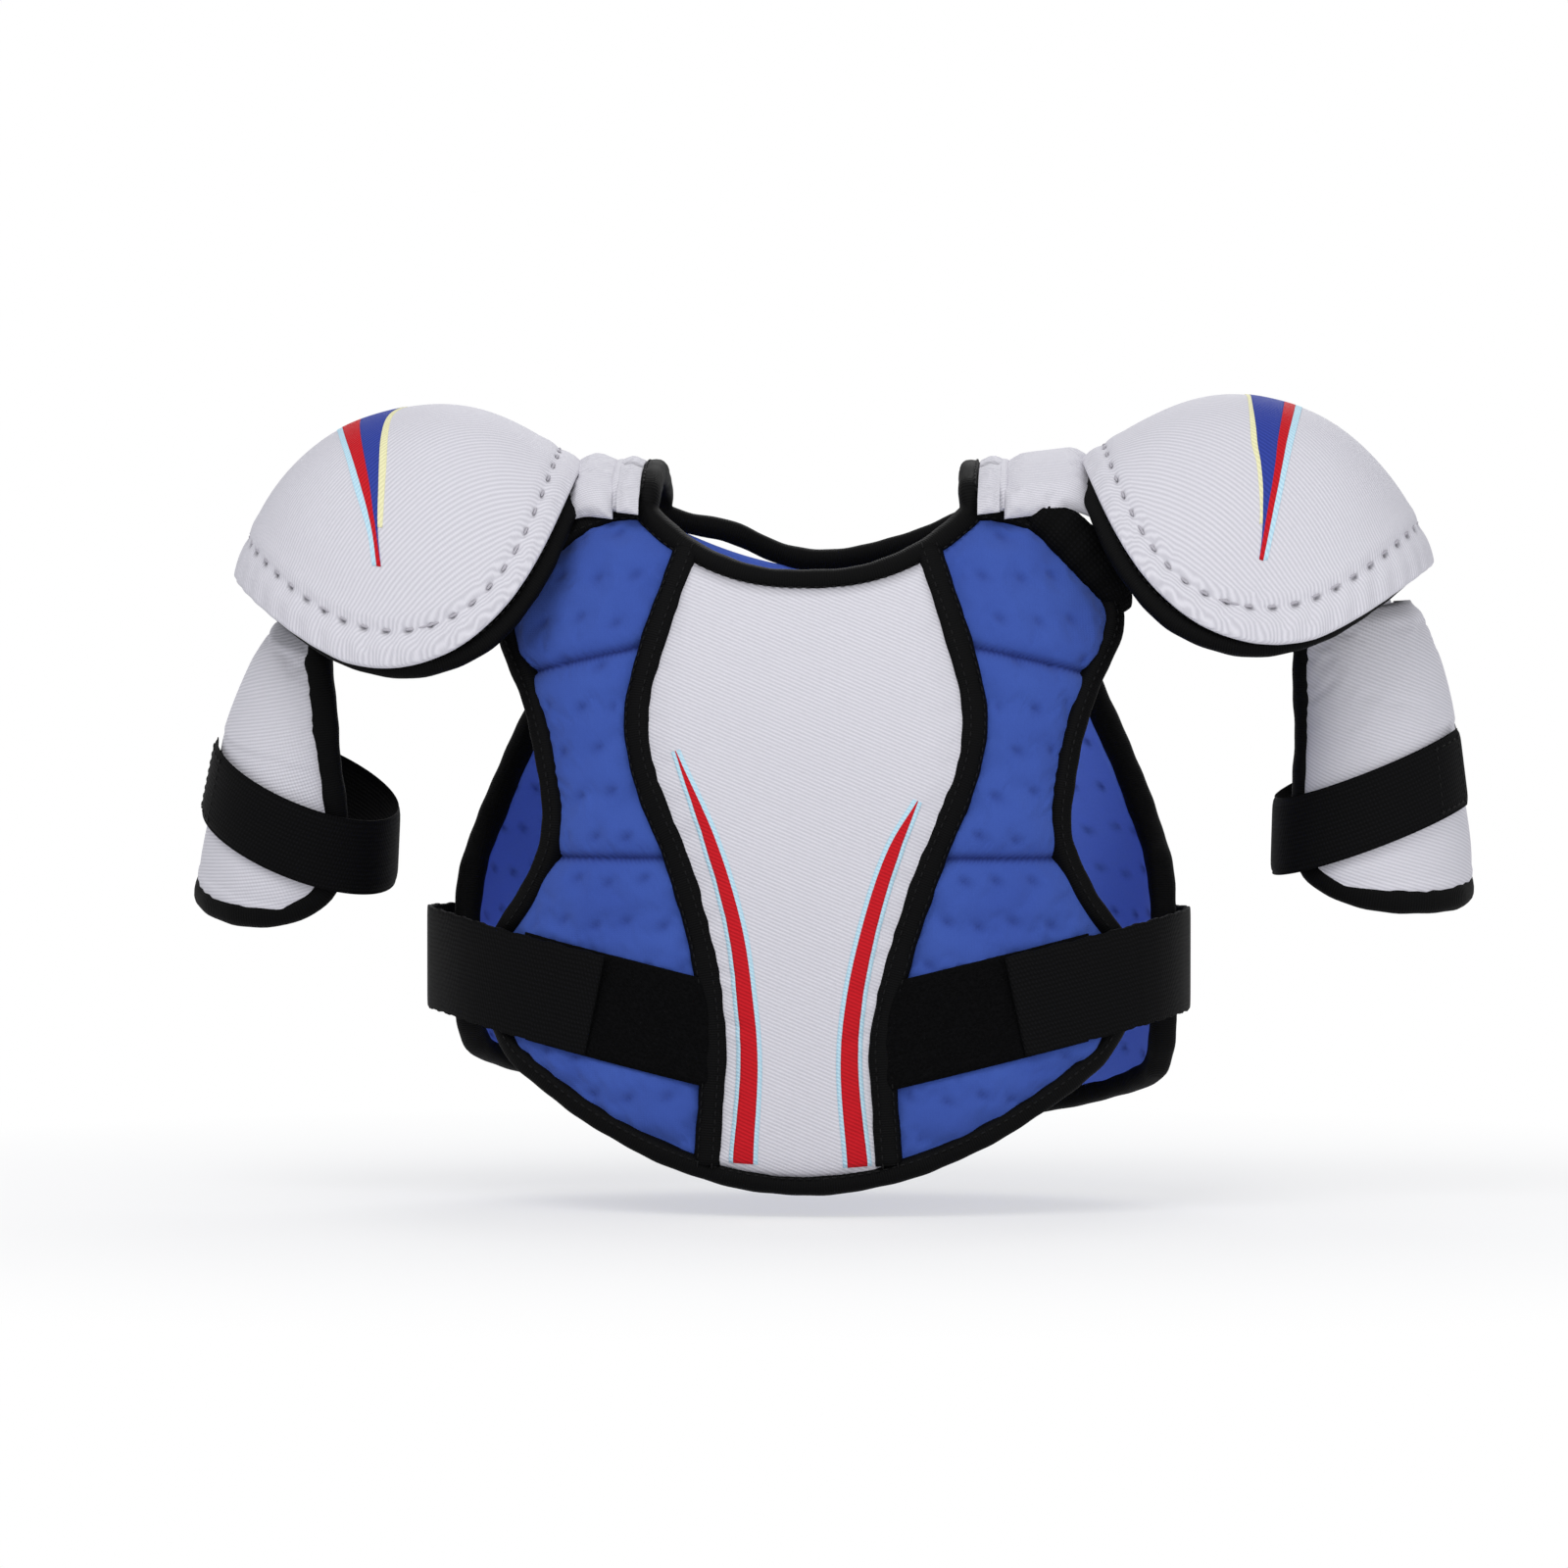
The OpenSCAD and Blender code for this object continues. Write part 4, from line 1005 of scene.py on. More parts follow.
lean = np.linspace(-YOKE_REACH, YOKE_REACH, 60)
arch = points(0 * lean, np.sin(np.radians(lean)), np.cos(np.radians(lean)))
front_neck, front_up = front_edge(neck_line(-NECK_HALF, NECK_HALF, 90))
back_run, back_up = back_edge_line(back_neck_line(back_neck, -back_neck, 90))
over = yoke_point(0.0, lean, YOKE_T / 2)
loop = np.concatenate([front_neck, over, back_run, mirror(over[::-1], -1)])
loop_up = np.concatenate([front_up, arch, back_up, arch[::-1]])
edge = bind("neck_binding_tape", loop, loop_up, 1, 11.0, 13.2, closed=True)
dress(edge, "vest", ["neck_binding"])
for side, s in SIDES:
    w = np.linspace(4.6, YOKE_END + 2.6, 22)[:, None]
    reach = np.linspace(-87.0, 66.0, 70)[None, :]
    flat = points(w + 0 * reach, reach * 0.9 + 0 * w)
    gap = edge_gap(flat)
    plump = 2.6 * fullness(gap, 5.0, 1.5)
    lap = 4.0 * ramp(-reach, 54.0, 20.0) ** 2
    fold = hump(np.abs(reach) - 26.0, 2.2) + 0 * w
    top = mirror(yoke_point(w, reach, YOKE_T + 1.6 + lap + plump - 1.6 * fold), s)
    mid = mirror(yoke_point(w, reach, YOKE_T + 0.2 + lap), s)
    top = puff(top, mid, np.maximum(hump(gap, 1.2), fold), 1.6, 0.03, step=1)
    # The cover's colour is painted darker in the fold creases, as painted shade.
    cover = skin(f"{side}_yoke_cover_skin", top, mid, flat, knit, 0.5 * fold)
    dress(cover, "vest", [f"{side}_yoke_cover"])
    short = np.linspace(-YOKE_REACH, YOKE_REACH, 70)[None, :]
    mid = mirror(yoke_point(w, short, YOKE_T + 0.2), s)
    low = mirror(yoke_point(w, short, -0.46 * plump), s)
    pad = skin(f"{side}_yoke_pad", mid, low, flat, mesh_cloth)
    dress(pad, "vest", [f"{side}_yoke_foam"])
    run = np.linspace(-85.0, YOKE_REACH, 64)
    line = yoke_point(YOKE_END + YOKE_EDGE, run, YOKE_T / 2 + 0.6)
    rise = points(0 * run, np.sin(np.radians(run)), np.cos(np.radians(run)))
    edge = bind(f"{side}_yoke_piping", line, rise, s, 6.6, 8.6, seams=(), finish=knit)
    dress(edge, "vest", [f"{side}_yoke_binding"])
print("yokes ready")

# %% [markdown]
# A soft black roll fills the corner between each chest foam and its cap. It gathers into small folds where
# it is sewn down, so its radius ripples a little along the line.

# %% Shoulder rolls
roll_path = [[102, -46, 330], [117, -48, 322], [133, -48, 308], [146, -46, 292], [154, -41, 278]]
roll_shape = {"right": (10.0, 0.45), "left": (24.0, 0.0)}
for side, s in SIDES:
    width, start = roll_shape[side]
    t = np.linspace(start, 1, 56)
    line = mirror(spline(roll_path, t), s)
    up = mirror(np.tile([[0.0, -1.0, 0.3]], (56, 1)), s)
    share = np.linspace(0, 1, 56)
    swell = 0.3 + 0.7 * np.sin(math.pi * np.clip(share, 0.002, 0.998)) ** 0.7
    folds = 1 + 0.02 * np.sin(share * 41.0) + 0.01 * np.sin(share * 97.0)
    # The black is painted darker, most in the valleys between the folds, as painted shade.
    roll = sweep(f"{side}_shoulder_roll_skin", line, up, round_bar(width, 0.8 * width, 2.2, 26), mesh_cloth,
                 grow=swell * folds, shade_marks=0.25 + 0.25 * np.sin(share * 41.0 + math.pi))
    dress(roll, "vest", [f"{side}_shoulder_roll"])
print("rolls ready")

# %% [markdown]
# Each waist strap is one length of elastic webbing: it is sewn to the back, comes round the side and ends in
# a hook tab on a looped patch.

# %% Waist straps
WAIST_W = 50.0
WAIST_START, WAIST_HINGE = 42.0, 100.0
strap_slack = {"right": 12.0, "left": 4.0}


def waist_z(degrees):
    return STRAP_Z + STRAP_SLOPE * torso(BACK, np.maximum(90.0, degrees), STRAP_Z, STRAP_D)[..., 0]


def waist_line(start, stop, d, count):
    q = np.linspace(start, stop, count)
    line = torso(BACK, q, waist_z(q), d)
    return line, torso(BACK, q, waist_z(q), d + 1.0) - line


def end_angle(x):
    return 180.0 - float(angle_at(x, STRAP_Z))


def waist_patch(name, inner_edge, s):
    rise = np.linspace(-0.5, 0.5, 20)[:, None]
    start = end_angle(128.0)
    offset = rise * (WAIST_W + 2.4)
    level = waist_z(end_angle(44.0)) + offset
    edge_x, edge_z = np.array(inner_edge).T
    stop = np.array([end_angle(x) for x in np.interp(level[:, 0], edge_z, edge_x)])[:, None]
    q = start + (stop - start) * np.linspace(0, 1, 60)[None, :]
    z = waist_z(q) + offset
    edge = 1.1 * (1 - 0.6 * (2 * np.abs(rise)) ** 10) + 0 * q
    top = torso(BACK, q, z, PATCH_D + 0.6 + edge)
    low = torso(BACK, q, z, PATCH_D + 0.6 - edge)
    flat = points(rise * WAIST_W + 0 * q, q * 2.4)
    return skin(name, mirror(top, s), mirror(low, s), flat, pile)


for side, s in SIDES:
    q = np.linspace(WAIST_START, end_angle(94.0), 150)
    slack = strap_slack[side] * hump(q - 80.0, 17.0)
    line, up = waist_line(WAIST_START, end_angle(94.0), STRAP_D + STRAP_T / 2 + slack, 150)
    wavy = 1 + 0.011 * np.sin(q * 0.9) + 0.007 * np.sin(q * 2.3 + s)
    band = round_bar(WAIST_W, 2.6, 9.0, 40)
    strap = sweep(f"{side}_waist_strap_webbing", mirror(line, s), mirror(up, s), band, webbing, grow=wavy)
    dress(strap, None, [f"{side}_waist_strap", f"{side}_waist_tab"])
    hinge = torso(BACK, WAIST_HINGE, waist_z(WAIST_HINGE), STRAP_D)
    near = Vector((s * hinge[0], hinge[1] + 5.0, hinge[2])) * MM
    far = Vector((s * hinge[0], hinge[1] - 5.0, hinge[2])) * MM
    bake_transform(strap)
    patch = waist_patch(f"{side}_waist_patch_pile", sternum_edges[side], s)
    dress(patch, "vest", [f"{side}_waist_patch"])
    line, up = waist_line(WAIST_START, 60.0, PATCH_D + 0.7, 30)
    band = round_bar(WAIST_W, 1.8, 8.0, 36)
    anchor = sweep(f"{side}_waist_anchor_patch", mirror(line, s), mirror(up, s), band, tape_cloth)
    dress(anchor, "vest", [f"{side}_waist_anchor"])
print("waist straps ready")

# %% [markdown]
# A cap is a dome that drapes at the front and back. Layers lie along the dome's own normals: a white cover
# outside, a shell, and a thick black liner whose bound edge shows below the cover's rim.

# %% Cap dome
CAP_LEN, CAP_DEPTH, CAP_H, CAP_DRAPE = 87.0, 84.0, 50.0, 58.0
CAP_POWER, CAP_SLOPE, DRAPE_POWER = 2.15, 2.3, 2.5
COVER_T, LINER_D, LINER_T = 3.2, 7.6, 7.0
cap_pose = {"right": ((198.0, -24.0, 327.0), 15.0, 9.0), "left": ((218.0, -18.0, 331.0), 14.0, 3.0)}


def turned(values, axis, degrees):
    a = math.radians(degrees)
    i, j = [(1, 2), (2, 0), (0, 1)][axis]
    out = values.copy()
    out[..., i] = values[..., i] * math.cos(a) - values[..., j] * math.sin(a)
    out[..., j] = values[..., i] * math.sin(a) + values[..., j] * math.cos(a)
    return out


def dome(q, r):
    y = r * bulge(np.sin(q), CAP_POWER)
    return points(CAP_LEN * r * bulge(np.cos(q), CAP_POWER), CAP_DEPTH * y,
                  CAP_H * (1 - r ** CAP_SLOPE) - CAP_DRAPE * np.abs(y) ** DRAPE_POWER)


def dome_normal(q, r):
    outward = dome(q, r + 0.02) - dome(q, np.maximum(r - 0.02, 0.001))
    around = dome(q + 0.05, r) - dome(q - 0.05, r)
    return unit(np.cross(outward, around))


def on_cap(q, r, depth):
    return dome(q, r) - dome_normal(q, r) * np.asarray(depth)[..., None]


def cap_place(side):
    centre, roll, tilt = cap_pose[side]
    return lambda values: turned(turned(values, 0, tilt), 1, roll) + np.array(centre)


RIM_Q = np.linspace(0, TURN, 300, endpoint=False)
reach_r = np.linspace(0.02, 1.0, 300)
dome_lines = dome(RIM_Q[:, None], reach_r[None, :])
steps = np.linalg.norm(np.diff(dome_lines, axis=1), axis=2)
from_top = np.concatenate([np.zeros((len(RIM_Q), 1)), np.cumsum(steps, axis=1)], axis=1)
from_rim = from_top[:, -1:] - from_top


def r_inside(distance):
    return np.array([np.interp(distance, row[::-1], reach_r[::-1]) for row in from_rim])


print("dome rim", round(float(from_top[:, -1].mean()), 1), "mm from the top on average")

# %% [markdown]
# The cover is measured from its rim inwards, so the dashed stitch line keeps the same distance from the edge
# all the way around. Outside that line the rim puffs up, and each stitch draws a small pit into the cover.

# %% Cap covers
near_rim = np.array([0.0, 0.6, 1.4, 2.4, 3.6, 5.0, 6.4, 7.8, 9.0, 10.0, 10.8, 11.4, 12.0, 12.6, 13.2,
                     14.0, 15.0, 16.5, 18.5, 21.0])
STITCH_IN, STITCH_PITCH, SKIRT = 12.0, 11.5, 8.5


def cap_rings():
    rings = [(r_inside(d), np.full(len(RIM_Q), d)) for d in near_rim]
    last = rings[-1][0]
    for share in np.linspace(0, 1, 34)[1:]:
        r = last * (1 - share) + 0.02 * share
        gone = np.array([np.interp(a, reach_r, row) for a, row in zip(r, from_rim)])
        rings.append((r, gone))
    return np.array([a for a, _ in rings]), np.array([b for _, b in rings])


ring_r, ring_in = cap_rings()
ring_q = np.broadcast_to(RIM_Q[None, :], ring_r.shape)


def cap_pad(name, place, s, lift, depth, thick, finish, shade_marks, hold=None):
    top = on_cap(ring_q, ring_r, depth - lift)
    under = on_cap(ring_q, ring_r, depth + thick + 0 * ring_r)
    if hold is not None:
        outward = unit(top[0] - top[3])
        lower = SKIRT * np.clip(1.35 * np.cos(RIM_Q + 0.35), 0, 1) ** 1.5
        skirt = (lower * hump(ring_in, 9.0))[..., None] * outward
        top, under = top + skirt, under + skirt
        top = puff(top, under, hold, 1.0, 0.006, wrap=True)
    columns = ring_r.shape[1]
    rim = 0.5 * (top[0] + under[0])
    outward = unit(top[0] - top[3])
    lips = []
    for turn_at in np.linspace(0, math.pi, 7)[1:-1]:
        half = 0.5 * (top[0] - under[0])
        lips.append(rim + half * math.cos(turn_at) + outward * (0.5 * thick * math.sin(turn_at)))
    grid = np.concatenate([top[::-1], np.array(lips), under])
    shade_marks = np.concatenate([shade_marks[::-1], np.zeros((len(lips), columns)), 0 * shade_marks])
    whole = mirror(place(grid), s)
    total = grid.shape[0]
    faces = quads(total, columns, 0, True).tolist()
    first, last = whole[0].mean(axis=0), whole[-1].mean(axis=0)
    verts = np.concatenate([whole.reshape(-1, 3), [first, last]])
    for j in range(columns):
        k = (j + 1) % columns
        faces.append([total * columns, k, j])
        faces.append([total * columns + 1, (total - 1) * columns + j, (total - 1) * columns + k])
    away = np.abs(grid[..., 1])
    away = away + 0.5 * CAP_DRAPE * (away / CAP_DEPTH) ** DRAPE_POWER
    uv = points(grid[..., 0], np.sign(grid[..., 1]) * away).reshape(-1, 2)
    uv = np.concatenate([uv, [[0.0, 0.0], [0.0, 0.0]]])
    shade_marks = np.concatenate([shade_marks.reshape(-1), [0.0, 0.0]])
    return write(name, verts, faces, uv, finish, shade_marks)


stitch_line = on_cap(RIM_Q, r_inside(STITCH_IN), 0 * RIM_Q)
stitch_run = np.cumsum(np.linalg.norm(np.diff(stitch_line, axis=0, prepend=stitch_line[-1:]), axis=1))
pit_count = round(stitch_run[-1] / STITCH_PITCH)
pit_phase = np.mod(stitch_run / stitch_run[-1] * pit_count, 1.0) - 0.5
off_pit = pit_phase * stitch_run[-1] / pit_count
for side, s in SIDES:
    place = cap_place(side)
    drawn = hump(ring_in - STITCH_IN, 2.6)
    pits = np.exp(-((ring_in - STITCH_IN) / 1.0) ** 2 - (off_pit[None, :] / 1.7) ** 2)
    lift = 0.7 * hump(ring_in - 5.0, 4.5) - 0.55 * drawn - 1.5 * pits
    lift = lift + 0.9 * np.clip(ring_in / 40, 0, 1) * ripple(dome(ring_q, ring_r)[..., :2], 34.0, s)
    lift = lift + 0.25 * np.exp(-ring_in / 9.0) * np.sin(ring_q * 46 + s)
    hold = np.maximum(hump(ring_in, 1.5), np.maximum(pits, 1.0 * (ring_in > 24.0)))
    # The cover's colour is painted darker in each stitch pit, as painted shade.
    cover = cap_pad(f"{side}_cap_cover_skin", place, s, lift, 0.0, COVER_T, knit, 0.85 * pits, hold)
    dress(cover, f"{side}_cap", [f"{side}_cap_cover"])
    swell = 0.06 * np.sin(ring_q * 38)
    liner = cap_pad(f"{side}_cap_liner_skin", place, s, swell, LINER_D, LINER_T, mesh_cloth, 0 * ring_r)
    dress(liner, f"{side}_cap", [f"{side}_cap_liner"])
    rim = on_cap(RIM_Q, np.full(len(RIM_Q), 1.0), np.full(len(RIM_Q), LINER_D + LINER_T / 2))
    up = dome_normal(RIM_Q, np.full(len(RIM_Q), 1.0))
    out, _ = frames(rim, up, True)
    edge = bind(f"{side}_cap_binding_tape", rim + out * 5.0, up, s, 11.0, 11.6, closed=True, seams=(-1,),
                body=f"{side}_cap", turn=place)
    dress(edge, f"{side}_cap", [f"{side}_cap_binding"])
    inside = r_inside(STITCH_IN)
    starts = np.flatnonzero(np.diff(pit_phase, append=pit_phase[0]) < -0.5)
    for start in starts:
        steps_on = (start + np.arange(-3, 4)) % len(RIM_Q)
        row = on_cap(RIM_Q[steps_on], inside[steps_on], np.full(7, 0.5))
        remember(f"{side}_cap", "white", mirror(place(row), s))
print("caps ready")

# %% [markdown]
# The printed wedge on each cap is a set of thin skins just above the knit. Their edges were measured in the
# photo and carried back onto the dome, as places across the cap and along it from front to back.

# %% Cap prints
wedge_lines = {
    "right": {
        "pale": [[25, 10], [22, -18.5], [20, -34.5], [19, -45.5], [17.7, -53.5], [17.2, -60], [18.5, -66.5]],
        "red": [[22, 10], [19.2, -18], [16.8, -36], [15.5, -46.5], [14.8, -54], [15, -60.5], [16.5, -67]],
        "split": [[11.5, 10], [11.3, -15], [11, -38], [11.2, -47.5], [12.2, -54.5], [12.8, -59],
                  [14.5, -67.5]],
        "blue": [[-10, 10], [-4, -8], [1.5, -29], [4.5, -40.5], [7.2, -48.5], [10, -55], [12, -59]],
        "cream": [[-12, 10], [-6, -10.5], [-2, -30], [0.8, -41], [4, -49], [7.2, -55.5], [9.5, -59.5]],
    },
    "left": {
        "cream": [[-18, 8], [-15, -19.5], [-10, -40], [-4.7, -48.5], [-0.6, -55.5], [2.8, -61.5], [4, -64.5]],
        "blue": [[-16, 8], [-13.2, -19], [-7.2, -39.5], [-2.5, -48.5], [1.4, -55.5], [4.2, -61.5], [6, -64]],
        "split": [[1.5, 8], [1.9, -20], [2.8, -37.5], [4.3, -47], [5.4, -54.5], [6.2, -61], [8, -71.5]],
        "red": [[7.3, 8], [7.2, -20.5], [7.2, -36.5], [7.8, -46.5], [8.4, -54], [8.9, -60.5], [10, -71.5]],
        "pale": [[10.8, 8], [10.5, -21.5], [10.4, -35], [10.6, -45.5], [11, -53.5], [11.4, -60], [12, -71]],
    },
}


def dome_at(x, y):
    qx = np.sign(x) * (np.abs(x) / CAP_LEN) ** (CAP_POWER / 2)
    qy = np.sign(y) * (np.abs(y) / CAP_DEPTH) ** (CAP_POWER / 2)
    r = np.clip((np.abs(qx) ** 2 + np.abs(qy) ** 2) ** (1 / CAP_POWER), 0.03, 1.0)
    return np.arctan2(qy, qx), r


def cap_ripple(q, r, s):
    rim = np.array([np.interp(a, reach_r, row) for a, row in zip(np.ravel(r), from_rim[nearest(q)])])
    return 0.9 * np.clip(rim.reshape(r.shape) / 40, 0, 1) * ripple(dome(q, r)[..., :2], 34.0, s)


def nearest(q):
    return (np.round(np.ravel(q) / TURN * len(RIM_Q)).astype(int)) % len(RIM_Q)


def wedge(name, side, s, first, second, finish, height):
    lines = wedge_lines[side]
    a, b = even(lines[first], 80)[:, None, :], even(lines[second], 80)[:, None, :]
    flat = a + (b - a) * np.linspace(0, 1, 14)[None, :, None]
    q, r = dome_at(flat[..., 0], flat[..., 1])
    level = cap_ripple(q, r, s)
    place = cap_place(side)
    top, low = (mirror(place(on_cap(q, r, depth)), s) for depth in (-level - height, 0.5 - level))
    thing = skin(name, top, low, flat * np.array([1.0, 1.4]), finish)
    return dress(thing, f"{side}_cap", [])


for side, s in SIDES:
    wedge(f"{side}_wedge_pale", side, s, "pale", "red", pale_print, 0.26)
    wedge(f"{side}_wedge_red", side, s, "red", "split", red_print, 0.34)
    wedge(f"{side}_wedge_blue", side, s, "split", "blue", blue_print, 0.34)
    wedge(f"{side}_wedge_cream", side, s, "blue", "cream", cream_print, 0.26)
print("cap prints ready")

# %% [markdown]
# A white tab carries each cap from the yoke. It crosses the cap's hinge.

# %% Cap tabs
for side, s in SIDES:
    centre, roll, _ = cap_pose[side]
    end = centre[0] - CAP_LEN * math.cos(math.radians(roll)) - NECK_HALF - 6.0
    w = np.linspace(17.6, end + 11.0, 26)[:, None]
    reach = np.linspace(-94.0, TAB_REACH, 56)[None, :]
    flat = points(w + 0 * reach, reach * 0.9 + 0 * w)
    gap = edge_gap(flat)
    plump = 2.6 * fullness(gap, 4.0, 1.5) + 2.0 * ramp(-reach, 46.0, 20.0) ** 2
    dip = points(0.0, 0.0, 5.0 * np.clip((w - end + 3.0) / 14.0, 0, 1) ** 2 + 0 * reach)
    top = mirror(yoke_point(w, reach, YOKE_T - 0.6 + plump) - dip, s)
    low = mirror(yoke_point(w, reach, YOKE_T - COVER_T + 0 * gap) - dip, s)
    top = puff(top, low, hump(gap, 1.2), 1.2, 0.03, step=1)
    tab = skin(f"{side}_cap_tab_skin", top, low, flat, knit)
    dress(tab, None, [f"{side}_cap_tab"])
    start = Vector((s * 97.8, 0.0, 350.0)) * MM
    stop = Vector((s * (NECK_HALF + end + 2.0), 0.0, 350.0)) * MM
    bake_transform(tab)
print("cap tabs ready")

# %% [markdown]
# The arm guards curl around the outside of the upper arm. They use the arm barrel: a cone with a slight bend.
# The black foam inside is full, the cover outside is smooth knit, and a binding closes three of the edges.

# %% Arm guards
GUARD_R, GUARD_TOP_R, GUARD_FOOT, GUARD_TOP = 36.0, 25.0, -44.0, 94.0
GUARD_COVER_D, GUARD_COVER_TOP = 9.6, 11.2
guard_pose = {"right": ((257.0, 22.0, 178.0), 9.0, 16.0, -22.0),
              "left": ((276.0, 9.0, 185.0), 3.0, 5.0, -40.0)}
guard_side = [[46, -40], [60, -28], [64, -4], [58, 31], [46, 66], [30, 94]]
guard_front = {"right": guard_side, "left": [[46, -40], [64, -28], [69, -4], [68, 31], [64, 66], [53, 94]]}


def guard_radius(z):
    return GUARD_R + (GUARD_TOP_R - GUARD_R) * (z - GUARD_FOOT) / (GUARD_TOP - GUARD_FOOT)


def guard_axis(z):
    return -12.0 * (np.maximum(0, z - 30.0) / 64.0) ** 1.6


def round_arm(q, z, d):
    r = guard_radius(z) + d
    return points(guard_axis(z) + r * np.cos(q), r * np.sin(q), z)


def on_guard(flat, d):
    return round_arm(flat[..., 0] / GUARD_R, flat[..., 1], d)


def guard_place(side):
    centre, lean, pitch, turn = guard_pose[side]
    return lambda v: turned(turned(turned(v, 2, turn), 0, pitch), 1, -lean) + np.array(centre)


def on_arm(side, s, flat, d):
    return mirror(guard_place(side)(on_guard(flat, d)), s)


x = np.linspace(-1, 1, 60)
foot = points(46.0 * x, -40.0 - 8.0 * (1 - x * x))
edge = even(guard_side, 100)
for side, s in SIDES:
    place = guard_place(side)
    front = even(guard_front[side], 100) * FLIP
    head = points(np.linspace(front[-1, 0], 30.0, 60), 94.0)
    guard_grid = panel(front, edge, foot, head, 60, 100, 3.2)
    gap = edge_gap(guard_grid)
    full = fullness(gap, 12.0, 1.4)
    lift = 2.4 * full + 0.5 * ripple(guard_grid, 24.0, s) * full
    # The cover's colour is painted darker along its bound edges, as painted shade.
    shade_marks = 0.4 * hump(gap, 2.5)
    raised = guard_grid + points(0.0, 5.0 * ramp(guard_grid[..., 1], 60.0, 30.0))
    lip = ramp(guard_grid[..., 1], 86.0, 4.0)
    outer = on_arm(side, s, raised, GUARD_COVER_TOP - 0.8 + lift - 2.0 * lip)
    inner = on_arm(side, s, raised, GUARD_COVER_D * (1 - lip))
    hold = np.maximum(hump(gap, 3.0), 1.0 * (np.abs(guard_grid[..., 1]) < 36.0))
    outer = puff(outer, inner, hold, 1.5, 0.015)
    cover = skin(f"{side}_guard_cover_skin", outer, inner, guard_grid, knit, shade_marks)
    dress(cover, f"{side}_guard", [f"{side}_guard_cover"])
    tack = tacks(guard_grid, 16.0, 14.0, 2.6, s) * ramp(gap, 5, 3)
    outer, inner = on_arm(side, s, guard_grid, 6.2), on_arm(side, s, guard_grid, 1.2 * tack - 0.8 * full)
    # The foam's colour is painted darker in its tack dimples, as painted shade.
    foam = skin(f"{side}_guard_foam_skin", outer, inner, guard_grid, mesh_cloth, tack)
    dress(foam, f"{side}_guard", [f"{side}_guard_foam"])
    path = np.concatenate([edge[::-1][9:], foot[::-1][2:-2], front])
    line, up = both_ways(on_guard, path, GUARD_COVER_TOP / 2)
    tape = bind(f"{side}_guard_binding_tape", line, up, s, 14.0, 13.0, seams=(), turn=place, tuck=0.35)
    dress(tape, f"{side}_guard", [f"{side}_guard_binding"])
    arc = np.linspace(-20, 20, 24)[None, :]
    z = np.linspace(76.0, 104.0, 30)[:, None]
    hang = points(arc + 0 * z, z + 0 * arc)
    outer, inner = on_arm(side, s, hang, -1.0), on_arm(side, s, hang, -3.0)
    web = skin(f"{side}_guard_hanger_web", outer, inner, hang, knit)
    dress(web, None, [f"{side}_guard_hanger"])
    low, high = (Vector(on_arm(side, s, np.array([0.0, at]), -2.0) * MM) for at in (84.0, 98.0))
    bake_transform(web)
print("arm guards ready")

# %% [markdown]
# An arm strap is sewn to the inner edge of its guard, loops around the arm and closes on the guard's face.
# The far half is the hook tab, which peels open.

# %% Arm straps
ARM_D, ARM_PATCH_D, ARM_W = 14.6, 12.6, 38.0
ARM_START, ARM_HINGE, ARM_END, ARM_FOLD = 62.0, 197.7, 380.0, 13.0
slant = {"right": 12.0, "left": 16.0}


def arm_z(side, q):
    return slant[side] * np.cos(q + math.radians(guard_pose[side][3]))


def arm_band(name, side, s, start, stop, d, thick, width, finish):
    place = guard_place(side)
    q = np.radians(np.linspace(start, stop, int(abs(stop - start) / 1.8) + 2))[None, :]
    rise = np.linspace(-0.5, 0.5, 18)[:, None]
    z = arm_z(side, q) + rise * width
    round_off = 1 - (2 * np.abs(rise)) ** 10 * 0.6
    outer = round_arm(q + 0 * z, z, d + thick * round_off)
    inner = round_arm(q + 0 * z, z, d + thick * (1 - round_off))
    flat = points(rise * width + 0 * q, q * 52.0 + 0 * rise)
    return skin(name, mirror(place(outer), s), mirror(place(inner), s), flat, finish)


def arm_row(side, s, degrees, rises):
    q = np.radians(np.asarray(degrees, float))
    z = arm_z(side, q) + np.asarray(rises, float)
    return mirror(guard_place(side)(round_arm(q, z, ARM_D + STRAP_T + 0.12)), s)


def arm_spot(side, s, degrees, d):
    q = np.radians(np.array(degrees))
    return Vector(mirror(guard_place(side)(round_arm(q, arm_z(side, q), d)), s) * MM)


for side, s in SIDES:
    band = arm_band(f"{side}_arm_strap_webbing", side, s, ARM_START, ARM_END, ARM_D, 2.4, ARM_W, webbing)
    dress(band, None, [f"{side}_arm_strap", f"{side}_arm_tab"])
    near = arm_spot(side, s, ARM_HINGE, ARM_D + 1.2)
    far = arm_spot(side, s, ARM_HINGE + ARM_FOLD, ARM_D)
    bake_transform(band)
    patch = arm_band(f"{side}_arm_patch_pile", side, s, 280.0, 370.0, ARM_PATCH_D, 1.6, ARM_W - 6, pile)
    dress(patch, f"{side}_guard", [f"{side}_arm_patch"])
    for rise in (-15.5, 15.5):
        remember(f"{side}_arm_flap", "black", arm_row(side, s, np.linspace(352, 376, 14), rise))
    for at in (352.0, 376.0):
        remember(f"{side}_arm_flap", "black", arm_row(side, s, at, np.linspace(-15.5, 15.5, 14)))
print("arm straps ready")

# %% [markdown]
# Two curved stripes are printed on the sternum. Each is a thin skin that follows the panel just above the
# knit, with a pale band a little wider below it.

